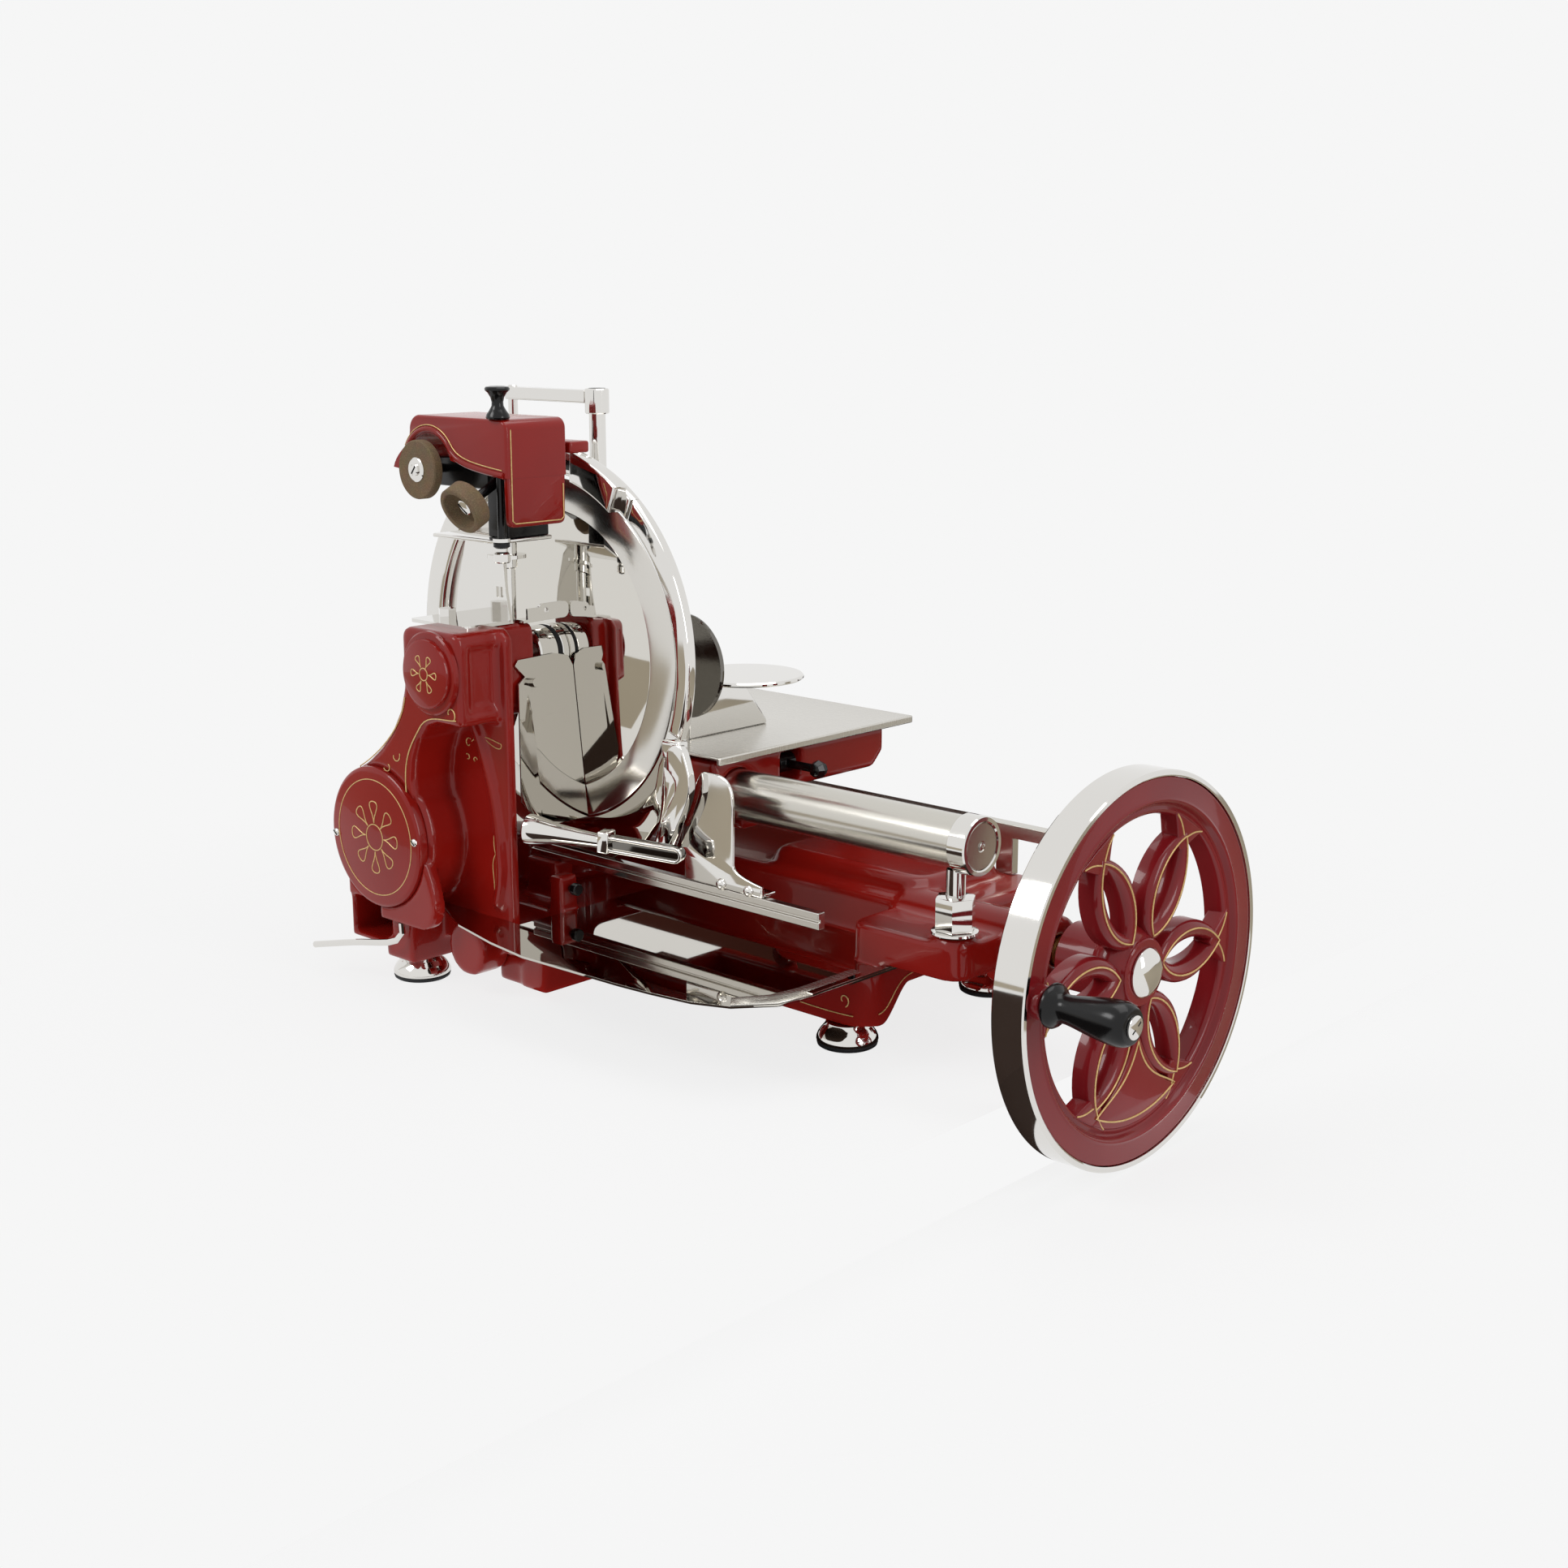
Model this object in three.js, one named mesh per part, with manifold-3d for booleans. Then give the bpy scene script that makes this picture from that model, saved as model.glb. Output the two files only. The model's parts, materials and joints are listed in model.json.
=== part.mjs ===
// Hand crank meat slicer: a vertical disc blade driven by a flywheel with a crank handle.
// Millimetres. X points to the flywheel, Y to the back of the blade, Z up.
// The origin is the middle of the front left foot's sole, on the counter.
import * as THREE from 'three';
import { mergeVertices } from 'three/addons/utils/BufferGeometryUtils.js';
import Module from 'manifold-3d';

const wasm = await Module();
wasm.setup();

// Clearances that every piece shares
const gap = 0.3;
const runningGap = 0.6;
const overrun = 2;
const softEdge = 1;
const fineSides = 36;
const roundSides = 16;
const smallSides = 8;

// Driving dimensions
const feet = {
  height: 20, soleRadius: 24, rimRadius: 26, rimHeight: 6, waistRadius: 15, waistHeight: 13, neckRadius: 12,
  rightX: 405, frontRightY: 127, backY: 318,
};
const blade = {
  x: 78, low: 146.5, radius: 152.5, frontY: 99, thickness: 5, edge: 0.6, bevel: 27, relief: 2.2, bore: 11,
};
blade.z = blade.low + blade.radius;
const drive = {
  y: 213, z: 93, layX: -9, layZ: 136, shaftRadius: 8, module: 2, bevelModule: 1.875,
  bigTeeth: 25, smallTeeth: 18, bevelTeeth: 24, bevelPinionTeeth: 12,
};
const chain = { pitch: 7.5, bigTeeth: 18, smallTeeth: 12, width: 5, height: 5, y: 40 };
const tray = { bottom: 70, thickness: 2, rim: 7, left: 12, right: 444, front: -47, back: 190 };
const head = {
  left: 34, right: 111, front: -35, back: 58, drop: 49, rise: 31, corner: 9, rearRight: 101,
  panelInset: 12, panelDepth: 3,
};
head.bottom = blade.z - head.drop;
head.top = blade.z + head.rise;
const neck = { archX: 43, archZ: 190, left: -42, z: 192, shoulderDrop: 22, inShare: 0.08, outShare: 0.12 };
neck.shoulderZ = blade.z - neck.shoulderDrop;
const rib = { left: 62, width: 44, bottom: 82, band: 9, height: 5, samples: 12 };
const column = { front: 10, back: 20, right: 118, bottom: 40, lowLeft: -60, corner: 8 };
const housing = { radius: 67, front: -31, rounding: 4 };
const pocket = { front: 20, lowRadius: 29, midRadius: 29, topRadius: 17.5, lip: 2, wall: 3.5, coverThickness: 3 };
const upperCover = { x: 76, drop: 5, radius: 30, stepRadius: 36, stepDepth: 4, depth: 9, plugRadius: 18, plugDepth: 5 };
upperCover.z = blade.z - upperCover.drop;
const bigCover = { radius: 64, depth: 9, edge: 3 };
const lug = { left: -58, right: -14, front: -34, back: 40, bottom: 34, top: 90, wall: 5, roof: 74 };
const skirt = { front: -36, back: -23, right: 68, bottom: 60 };
const footBlock = { half: 20, back: 26, top: 66 };
const lobe = { x: 77, z: 44, radius: 25, front: -10 };
const base = {
  left: -40, right: 438, front: 112, back: 335, wall: 8, corner: 22, edge: 3,
  bodyLeft: -30, bodyRight: 462, bodyFront: 192, bodyTop: 110, bodyEdge: 5,
  domeLeft: 235, domeRight: 420, domeInset: 14, domeTop: 125, domeEdge: 8,
  tunnelHalf: 24, tunnelTop: 116, gearRoomRight: 46, gearRoomFront: 165, gearRoomBack: 250, gearRoomTop: 127,
  shelfLeft: 400, shelfRight: 517, shelfFront: 131, shelfBack: 240, shelfBottom: 74, shelfTop: 104,
  blockLeft: 84, blockRight: 150, blockFront: 18, blockBottom: 10, blockTop: 60,
  sideBlockLeft: 110, sideBlockRight: 127, sideBlockBack: 80, sideBlockTop: 104,
};
const tube = { y: 150, z: 186, radius: 22, bore: 17, left: 20, right: 506, seatLength: 22, seatHalf: 26, slot: 8 };
const post = { x: 498, y: 150, bossRadius: 17, bossTop: 110 };
const shaftHousing = { radius: 25, collarRadius: 29, collarLength: 16, right: 556, bushWall: 4, bushLength: 14 };
const rail = { left: 44, right: 400, front: 96, back: 104, bottom: 104, top: 118, groove: 2, seatLength: 40 };
const plinthTop = tray.bottom - gap;
const footPlaces = {
  foot_front_left: [0, 0],
  foot_front_right: [feet.rightX, feet.frontRightY],
  foot_back_right: [feet.rightX, feet.backY],
  foot_back_left: [0, feet.backY],
};
const hub = { radius: 23, front: 66, seat: 16, ringGroove: 2, ringWidth: 5, ringY: 86 };
const bladeShaft = { front: -10, noseRadius: 6 };
const bladeBush = { front: -6, back: 16 };
const layShaft = { front: -12, back: 50, pinionFront: 24, pinionBack: 34 };
const crossShaft = { front: 22, gearWidth: 9, gearBack: 33.5 };
const bevel = { face: 8, backing: 4, clearance: 0.5 };
const bladeNut = { radius: 14, depth: 9, stub: 3 };
const apex = [drive.layX, drive.y, drive.z];
const wheel = {
  front: 637, depth: 25, rim: 160, rimProud: 1, rimOverhang: 4, rimWall: 5, faceInner: 134, lip: 126,
  webInset: 4, ribInset: 3, hubRadius: 28, hubBack: 570, hubDepth: 14, petals: 6, petalStart: 24, petalEnd: 118,
  petalHalf: 26, slotHalf: 13, petalWall: 9, hornHalf: 22, weightStart: 46, weightHalf: 62,
};
wheel.back = wheel.front - wheel.depth;
wheel.webBack = wheel.back + wheel.webInset;
wheel.ribFront = wheel.front - wheel.ribInset;
wheel.rimBack = wheel.back - wheel.rimOverhang;
wheel.rimFront = wheel.front + wheel.rimProud;
const grip = {
  y: 74, z: 104, bossRadius: 13, bossDepth: 7, bossGap: 2, length: 72, collarRadius: 17, collarWidth: 8,
  waistRadius: 11, waistShare: 0.2, bellyRadius: 17, bellyShare: 0.8, endRadius: 12, boltRadius: 4, boltHead: 9,
  boltHeadDepth: 3,
};
grip.bossFront = wheel.front + grip.bossDepth;
grip.left = grip.bossFront + grip.bossGap;
grip.right = grip.left + grip.length;
const hubCap = { radius: 20, depth: 9, rimDepth: 2 };
const collar = { left: 506, right: 524, radius: 24.5, recess: 3, recessRadius: 19 };
const postRod = { radius: 8, nutRadius: 17, nutHeight: 28, flangeRadius: 19, flangeTop: 113 };
const gauge = {
  front: 96, back: 99, left: 231, top: 216, right: 302, bottom: 128, footRight: 337, footTop: 135, footDepth: 14,
};
const guard = {
  x: 73, rise: 2, clearance: 3.5, width: 21, front: 98, back: 110, edge: 2, startDegrees: 51, endDegrees: 318,
  coverStart: -21, coverEnd: 50.85, capWidth: 12, capStart: 55, capEnd: 75,
};
guard.z = blade.z + guard.rise;
guard.inner = blade.radius + guard.clearance;
guard.outer = guard.inner + guard.width;
const bar = {
  y: 80, depth: 12, left: 38, endRadius: 14.5, endZ: 130, joint: 142, thick: 8, right: 244, z: 145,
  pinRadius: 7, bossRadius: 12, lugLeft: 54, lugRight: 68, lugBottom: 128, lugTop: 139,
};
const arm = {
  front: 84, back: 95, topWidth: 14, topShare: 0.384181, kneeOut: 18, kneeDrop: 15, footX: 222, footZ: 149.6,
  thick: 8, clip: 4,
};
arm.topRight = guard.x + guard.outer;
arm.topLeft = arm.topRight - arm.topWidth;
arm.top = guard.z - guard.outer * arm.topShare;
arm.kneeX = arm.topRight + arm.kneeOut;
arm.kneeZ = arm.top - arm.kneeDrop;
const deflector = { x: 102, lean: 0.118, front: 33, back: 98.4, bottom: 151, thickness: 1.5, bolt: 4 };
deflector.z = blade.z;
const bracket = { x: 99, front: 63, back: 98, height: 15, thickness: 2.5, corner: 6 };
bracket.bottom = head.top;
bracket.top = bracket.bottom + bracket.height;
const carriage = {
  left: 60, right: 258, front: 120, back: 345, bottom: 180, top: 218, wall: 8, chamfer: 14, edge: 2,
  sleeveRadius: 30, sleeveFront: 122, sleeveBack: 178, sleeveBottom: 152,
};
const table = { left: -70, right: 268, front: 113, back: 370, bottom: 222, thickness: 3, lip: 4, foot: 30 };
const feed = { x: 185, z: 205, radius: 5, left: 182, knobFront: 378, knobDepth: 16, knobRadius: 16, travel: 120, lobes: 6,
  lobeRadius: 6 };
const lever = {
  y: 218, z: 201, pivotX: 246, slotFront: 205, slotBack: 231, slotBottom: 186, slotTop: 215, slotDepth: 24,
  armRadius: 4, ballX: 290, ballRadius: 8.5, hubRadius: 5, hubHalf: 10,
};
const roller = { x: 150, y: 325, radius: 11, half: 5, bore: 3.5, earWidth: 5, earHalf: 9 };
const track = { left: 20, right: 462, half: 6, height: 12, seatLength: 18, seatInset: 34 };
const press = {
  x: 70, y: 165, postRadius: 7.5, armGap: 5, armDepth: 12, armHalf: 6, rodX: -46, rodRadius: 4.5,
  footRadius: 26, footRise: 1, footDepth: 5, bossRadius: 11, travel: 60,
};
press.footBottom = blade.z + press.footRise;
const pusher = {
  x: 195, y: 148, z: 291, radius: 46, thickness: 4, plateX: 206, plateY: 214, plateRadius: 52, plateTop: 277,
  webHalf: 3, webBack: 250,
};
const trackTop = carriage.bottom - roller.radius * 2 - runningGap * 4;
const sharpener = {
  left: 12, right: 140, front: 0, back: 66, wall: 3, corner: 26, guardTipX: -12, stoneX: 38, stoneY: -8,
  stoneRadius: 25, stoneDepth: 12, archRadius: 30, cupX: 112, cupY: -6, cupRadius: 21, cupDepth: 16, cupTilt: 28,
  spindle: 4, bodyLeft: 26, bodyRight: 124, bodyFront: 12, bodyBack: 60, knobX: 126, knobY: 4, knobRadius: 12,
  knobWaist: 6, knobHeight: 27, rodRadius: 4, nutRadius: 7,
};
// Heights above the head's top
const sharpenerRise = {
  top: 177, low: 126, sideLow: 88, guardTipZ: 142, stoneZ: 132, cupZ: 106, bodyBottom: 77, nutTop: 75, nutBottom: 58,
};
for (const [name, rise] of Object.entries(sharpenerRise)) sharpener[name] = head.top + rise;
press.armBottom = sharpener.top + press.armGap;
press.armTop = press.armBottom + press.armDepth;
const stand = {
  left: 20, right: 95, front: -14, back: 40, height: 74, thickness: 3, sheetLeft: 35, sheetRight: 85,
  sheetWall: 3, hole: 9, holeRise: 22, pivotX: 78, pivotY: 49, pivotRadius: 7, boltX: 45, boltY: 8, boltRadius: 8,
  boltHeight: 9, stemRadius: 5,
};
stand.bottom = head.top;
stand.top = stand.bottom + stand.height;
stand.holeZ = stand.bottom + stand.holeRise;
const release = { x: 14, y: -32, top: 59.6, bendZ: 45, radius: 3, tipX: -80, tipY: -60, tipZ: 26, boss: 5 };
const sideKnob = { y: 69, z: 93, radius: 6, length: 12 };

const turnX = new THREE.Matrix4().makeRotationZ(-Math.PI / 2);
const turnZ = new THREE.Matrix4().makeRotationX(Math.PI / 2);
const alongY = new THREE.Matrix4().makeBasis(
  new THREE.Vector3(1, 0, 0), new THREE.Vector3(0, 0, 1), new THREE.Vector3(0, -1, 0));
const alongX = new THREE.Matrix4().makeBasis(
  new THREE.Vector3(0, 1, 0), new THREE.Vector3(0, 0, 1), new THREE.Vector3(1, 0, 0));

// A closed geometry as a solid: shared points merged, flat triangles dropped, faces turned outwards
function toSolid(geometry) {
  const bare = geometry.clone();
  for (const name of Object.keys(bare.attributes)) {
    if (name !== 'position') bare.deleteAttribute(name);
  }
  const merged = mergeVertices(bare);
  const points = merged.attributes.position.array;
  const corners = merged.index.array;
  const kept = [];
  let volume = 0;
  const a = new THREE.Vector3();
  const b = new THREE.Vector3();
  const c = new THREE.Vector3();
  for (let i = 0; i < corners.length; i += 3) {
    const [p, q, r] = [corners[i], corners[i + 1], corners[i + 2]];
    if (p === q || q === r || r === p) continue;
    kept.push(p, q, r);
    a.fromArray(points, p * 3);
    b.fromArray(points, q * 3);
    c.fromArray(points, r * 3);
    volume += a.dot(b.cross(c));
  }
  if (volume < 0) kept.reverse();
  const mesh = new wasm.Mesh({
    numProp: 3,
    vertProperties: new Float32Array(points),
    triVerts: new Uint32Array(kept),
  });
  return new wasm.Manifold(mesh);
}

function toGeometry(solid) {
  const mesh = solid.getMesh();
  const geometry = new THREE.BufferGeometry();
  geometry.setAttribute('position', new THREE.BufferAttribute(new Float32Array(mesh.vertProperties), 3));
  geometry.setIndex(new THREE.BufferAttribute(new Uint32Array(mesh.triVerts), 1));
  geometry.computeVertexNormals();
  return geometry;
}

function join(...pieces) {
  return toGeometry(pieces.map(toSolid).reduce((whole, piece) => whole.add(piece)));
}

function cut(piece, ...tools) {
  return toGeometry(tools.map(toSolid).reduce((whole, tool) => whole.subtract(tool), toSolid(piece)));
}

// Box from its lowest and highest corners
function box(x0, x1, y0, y1, z0, z1) {
  const geometry = new THREE.BoxGeometry(x1 - x0, y1 - y0, z1 - z0);
  return geometry.translate((x0 + x1) / 2, (y0 + y1) / 2, (z0 + z1) / 2);
}

// Profile of [radius, place along the axis] turned about an axis through a centre
function turned(axis, centre, profile, sides = roundSides) {
  const points = profile.map(([radius, along]) => new THREE.Vector2(radius, along));
  const geometry = new THREE.LatheGeometry(points, sides);
  if (axis === 'x') geometry.applyMatrix4(turnX);
  if (axis === 'z') geometry.applyMatrix4(turnZ);
  return geometry.translate(...centre);
}

function rod(axis, centre, radius, from, to, sides = roundSides) {
  return turned(axis, centre, [[0, from], [radius, from], [radius, to], [0, to]], sides);
}

// Ring with a square section, open in the middle
function ring(axis, centre, inner, outer, from, to, sides = roundSides) {
  return turned(axis, centre, [[inner, from], [outer, from], [outer, to], [inner, to], [inner, from]], sides);
}

// Outline raised to a plate; a bevel rounds both rims and stays inside the outline's thickness
function plate(direction, outline, from, to, bevel = 0, curveSegments = 5) {
  const geometry = new THREE.ExtrudeGeometry(outline, {
    depth: to - from - 2 * bevel,
    bevelEnabled: bevel > 0,
    bevelThickness: bevel,
    bevelSize: bevel,
    bevelOffset: -bevel,
    bevelSegments: 1,
    curveSegments,
    steps: 1,
  });
  geometry.translate(0, 0, bevel);
  if (direction === 'z') return geometry.translate(0, 0, from);
  if (direction === 'x') return geometry.applyMatrix4(alongX).translate(from, 0, 0);
  return geometry.applyMatrix4(alongY).translate(0, to, 0);
}

function outlineOf(points) {
  return new THREE.Shape(points.map(([u, v]) => new THREE.Vector2(u, v)));
}

// Shares of a width and a height, set off from a corner
function scaled(shares, u0, v0, width, height) {
  return shares.map(([u, v]) => [u0 + u * width, v0 + v * height]);
}

function roundedRectangle(u0, u1, v0, v1, radius) {
  const shape = new THREE.Shape();
  shape.moveTo(u0 + radius, v0);
  shape.lineTo(u1 - radius, v0);
  shape.absarc(u1 - radius, v0 + radius, radius, -Math.PI / 2, 0, false);
  shape.lineTo(u1, v1 - radius);
  shape.absarc(u1 - radius, v1 - radius, radius, 0, Math.PI / 2, false);
  shape.lineTo(u0 + radius, v1);
  shape.absarc(u0 + radius, v1 - radius, radius, Math.PI / 2, Math.PI, false);
  shape.lineTo(u0, v0 + radius);
  shape.absarc(u0 + radius, v0 + radius, radius, Math.PI, Math.PI * 3 / 2, false);
  return shape;
}

// Loop of a belt round two circles, as the outline of its outer or inner side
function beltOutline(u0, v0, r0, u1, v1, r1, Kind = THREE.Shape) {
  const span = Math.hypot(u1 - u0, v1 - v0);
  const line = Math.atan2(v1 - v0, u1 - u0);
  const lean = Math.acos((r0 - r1) / span);
  const shape = new Kind();
  shape.absarc(u0, v0, r0, line + lean, line - lean + Math.PI * 2, false);
  shape.absarc(u1, v1, r1, line - lean, line + lean, false);
  shape.closePath();
  return shape;
}

// Gear outline with straight flanked teeth, thinned for backlash
function gearOutline(teeth, module, turn = 0) {
  const pitchRadius = teeth * module / 2;
  const addendumShare = 0.8;
  const dedendumShare = 1.15;
  const rootHalfShare = 0.3;
  const tipHalfShare = 0.13;
  const step = Math.PI * 2 / teeth;
  const root = pitchRadius - dedendumShare * module;
  const tip = pitchRadius + addendumShare * module;
  const points = [];
  for (let i = 0; i < teeth; i += 1) {
    const middle = turn + i * step;
    for (const [radius, share] of [[root, -rootHalfShare], [tip, -tipHalfShare],
      [tip, tipHalfShare], [root, rootHalfShare]]) {
      const angle = middle + share * step;
      points.push([radius * Math.cos(angle), radius * Math.sin(angle)]);
    }
  }
  return points;
}

const group = new THREE.Group();

const finishes = {
  enamel: { color: 0x7d1216, roughness: 0.16, metalness: 0 },
  chrome: { color: 0xd8d8d6, roughness: 0.08, metalness: 1 },
  steel: { color: 0xc4c2bc, roughness: 0.2, metalness: 1 },
  plastic: { color: 0x1b1c1d, roughness: 0.35, metalness: 0 },
  stone: { color: 0x6f5238, roughness: 0.9, metalness: 0 },
  brass: { color: 0xb08d4a, roughness: 0.3, metalness: 1 },
};

function add(name, geometry, finish) {
  const closed = toGeometry(toSolid(geometry));
  const mesh = new THREE.Mesh(closed, new THREE.MeshStandardMaterial(finishes[finish]));
  mesh.name = name;
  group.add(mesh);
}

// Frame castings

function makeFoot(x, y) {
  const profile = [
    [0, 0], [feet.soleRadius, 0], [feet.rimRadius, feet.rimHeight], [feet.waistRadius, feet.waistHeight],
    [feet.neckRadius, feet.height], [0, feet.height],
  ];
  return turned('z', [x, y, 0], profile, roundSides);
}

function makeBase() {
  const bottom = feet.height;
  const caseBack = head.back + gap;
  const plinth = plate('z', roundedRectangle(base.left, base.right, base.front, base.back, base.corner),
    bottom, plinthTop);
  const body = plate('z', roundedRectangle(base.bodyLeft, base.bodyRight, base.bodyFront, base.back, base.corner),
    plinthTop - base.wall, base.bodyTop, base.bodyEdge);
  const domeOutline = roundedRectangle(base.domeLeft, base.domeRight, base.bodyFront + base.domeInset,
    base.back - base.domeInset, base.corner);
  const dome = plate('z', domeOutline, base.bodyTop - base.wall, base.domeTop, base.domeEdge);
  const leftBlock = box(base.left, base.blockRight, caseBack, base.bodyFront, bottom, plinthTop);
  const frontBlock = box(base.blockLeft, base.blockRight, column.back + gap, base.front + base.corner,
    base.blockBottom, column.bottom - gap);
  const frontCheek = box(column.right + runningGap, base.blockRight, base.blockFront, base.front + base.corner,
    base.blockBottom, base.blockTop);
  const sideBlock = box(base.sideBlockLeft, base.sideBlockRight, caseBack, base.sideBlockBack,
    base.blockTop, base.sideBlockTop);
  const tunnel = box(drive.layX - base.tunnelHalf, drive.layX + base.tunnelHalf, caseBack,
    base.gearRoomFront + base.wall, base.blockTop, base.tunnelTop);
  const gearRoom = box(base.bodyLeft - base.wall, base.gearRoomRight, base.gearRoomFront, base.gearRoomBack,
    base.blockTop, base.gearRoomTop);
  const shelf = plate('z', roundedRectangle(base.shelfLeft, base.shelfRight, base.shelfFront, base.shelfBack,
    post.bossRadius), base.shelfBottom, base.shelfTop);
  const boss = rod('z', [post.x, post.y, 0], post.bossRadius, base.shelfBottom, post.bossTop);
  const sleeve = rod('x', [0, drive.y, drive.z], shaftHousing.radius, base.shelfLeft, shaftHousing.right);
  const collar = rod('x', [0, drive.y, drive.z], shaftHousing.collarRadius,
    shaftHousing.right - shaftHousing.collarLength, shaftHousing.right);
  const tubeSeat = box(tube.left, tube.left + tube.seatLength, tube.y - tube.seatHalf, tube.y + tube.seatHalf,
    bottom, tube.z);
  const railSeat = box(rail.left, rail.left + rail.seatLength, rail.front - base.wall, rail.back + base.wall,
    plinthTop - base.wall, rail.bottom - gap);
  const whole = join(plinth, body, dome, leftBlock, frontBlock, frontCheek, sideBlock, tunnel, gearRoom, shelf,
    boss, sleeve, collar, tubeSeat, railSeat);

  const lowRoom = box(base.left + base.wall, base.right - base.wall, base.front + base.wall,
    base.back - base.wall, base.blockBottom, plinthTop - base.wall);
  const highRoom = box(base.gearRoomRight - base.wall, base.bodyRight - base.wall, base.bodyFront + base.wall,
    base.back - base.wall, plinthTop - base.wall - overrun, base.bodyTop - base.wall);
  const gearHollow = box(base.bodyLeft, base.gearRoomRight - base.wall + overrun, base.gearRoomFront + base.wall,
    base.gearRoomBack - base.wall, plinthTop - base.wall - overrun, base.gearRoomTop - base.wall);
  const shaftBore = rod('x', [0, drive.y, drive.z], drive.shaftRadius + shaftHousing.bushWall + gap,
    base.bodyRight - base.wall - overrun, shaftHousing.right + overrun);
  const crossBore = rod('y', [drive.layX, 0, drive.z], drive.shaftRadius + runningGap,
    head.back - overrun, base.gearRoomFront + base.wall + overrun);
  const tubeBore = rod('x', [0, tube.y, tube.z], tube.radius + gap, tube.left - overrun,
    tube.left + tube.seatLength + overrun, fineSides);
  const pads = Object.values(footPlaces).slice(1).map(([x, y]) => rod('z', [x, y, 0], feet.waistRadius,
    bottom, plinthTop - base.wall + overrun));
  const hollowed = cut(whole, lowRoom, highRoom, gearHollow);
  const footed = join(hollowed, ...pads);
  return cut(footed, shaftBore, crossBore, tubeBore);
}

function headOutline() {
  const shape = new THREE.Shape();
  const span = head.right - neck.archX;
  shape.moveTo(head.right, head.bottom);
  shape.lineTo(head.right, head.top - head.corner);
  shape.absarc(head.right - head.corner, head.top - head.corner, head.corner, 0, Math.PI / 2, false);
  shape.lineTo(head.left + head.corner, head.top);
  shape.absarc(head.left + head.corner, head.top - head.corner, head.corner, Math.PI / 2, Math.PI, false);
  shape.lineTo(head.left, neck.shoulderZ);
  shape.bezierCurveTo(head.left - span * neck.inShare, head.bottom - head.corner,
    neck.left + span / 2, neck.archZ + head.corner * 2, neck.left, neck.z);
  shape.lineTo(drive.layX, drive.layZ);
  shape.lineTo(neck.archX, neck.archZ - head.corner * 2);
  shape.bezierCurveTo(neck.archX - span * neck.outShare, neck.archZ + head.corner * 2,
    neck.archX + head.corner, head.bottom, head.right - span / 2, head.bottom);
  shape.closePath();
  return shape;
}

function columnOutline() {
  const leftShares = [[0.5, 1], [0.51, 0.78], [0.3, 0.6], [0, 0.45]];
  const width = column.right - column.lowLeft;
  const height = head.top - column.bottom;
  const points = [
    [column.lowLeft, column.bottom],
    [column.right, column.bottom],
    [column.right, head.top - column.corner],
    [column.right - column.corner, head.top],
    ...scaled(leftShares, column.lowLeft, column.bottom, width, height),
  ];
  return outlineOf(points);
}

function pocketSolid(extra, from, to) {
  const upper = beltOutline(drive.layX, drive.layZ, pocket.midRadius + extra,
    blade.x, blade.z, pocket.topRadius + extra);
  const lower = beltOutline(drive.layX, drive.z, pocket.lowRadius + extra,
    drive.layX, drive.layZ, pocket.midRadius + extra);
  return join(plate('y', upper, from, to), plate('y', lower, from, to));
}

function archRib() {
  const ribShares = [[0, 1], [0.46, 0.78], [0.78, 0.52], [0.92, 0.2], [0.74, 0]];
  const spine = scaled(ribShares, rib.left, rib.bottom, rib.width, head.bottom + head.corner - rib.bottom);
  const curve = new THREE.SplineCurve(spine.map(([x, z]) => new THREE.Vector2(x, z)));
  const samples = curve.getPoints(rib.samples);
  const points = [...samples.map((p) => [p.x, p.y]), ...samples.reverse().map((p) => [p.x + rib.band, p.y])];
  return plate('y', outlineOf(points), column.front - rib.height, column.front + overrun, softEdge);
}

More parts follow.
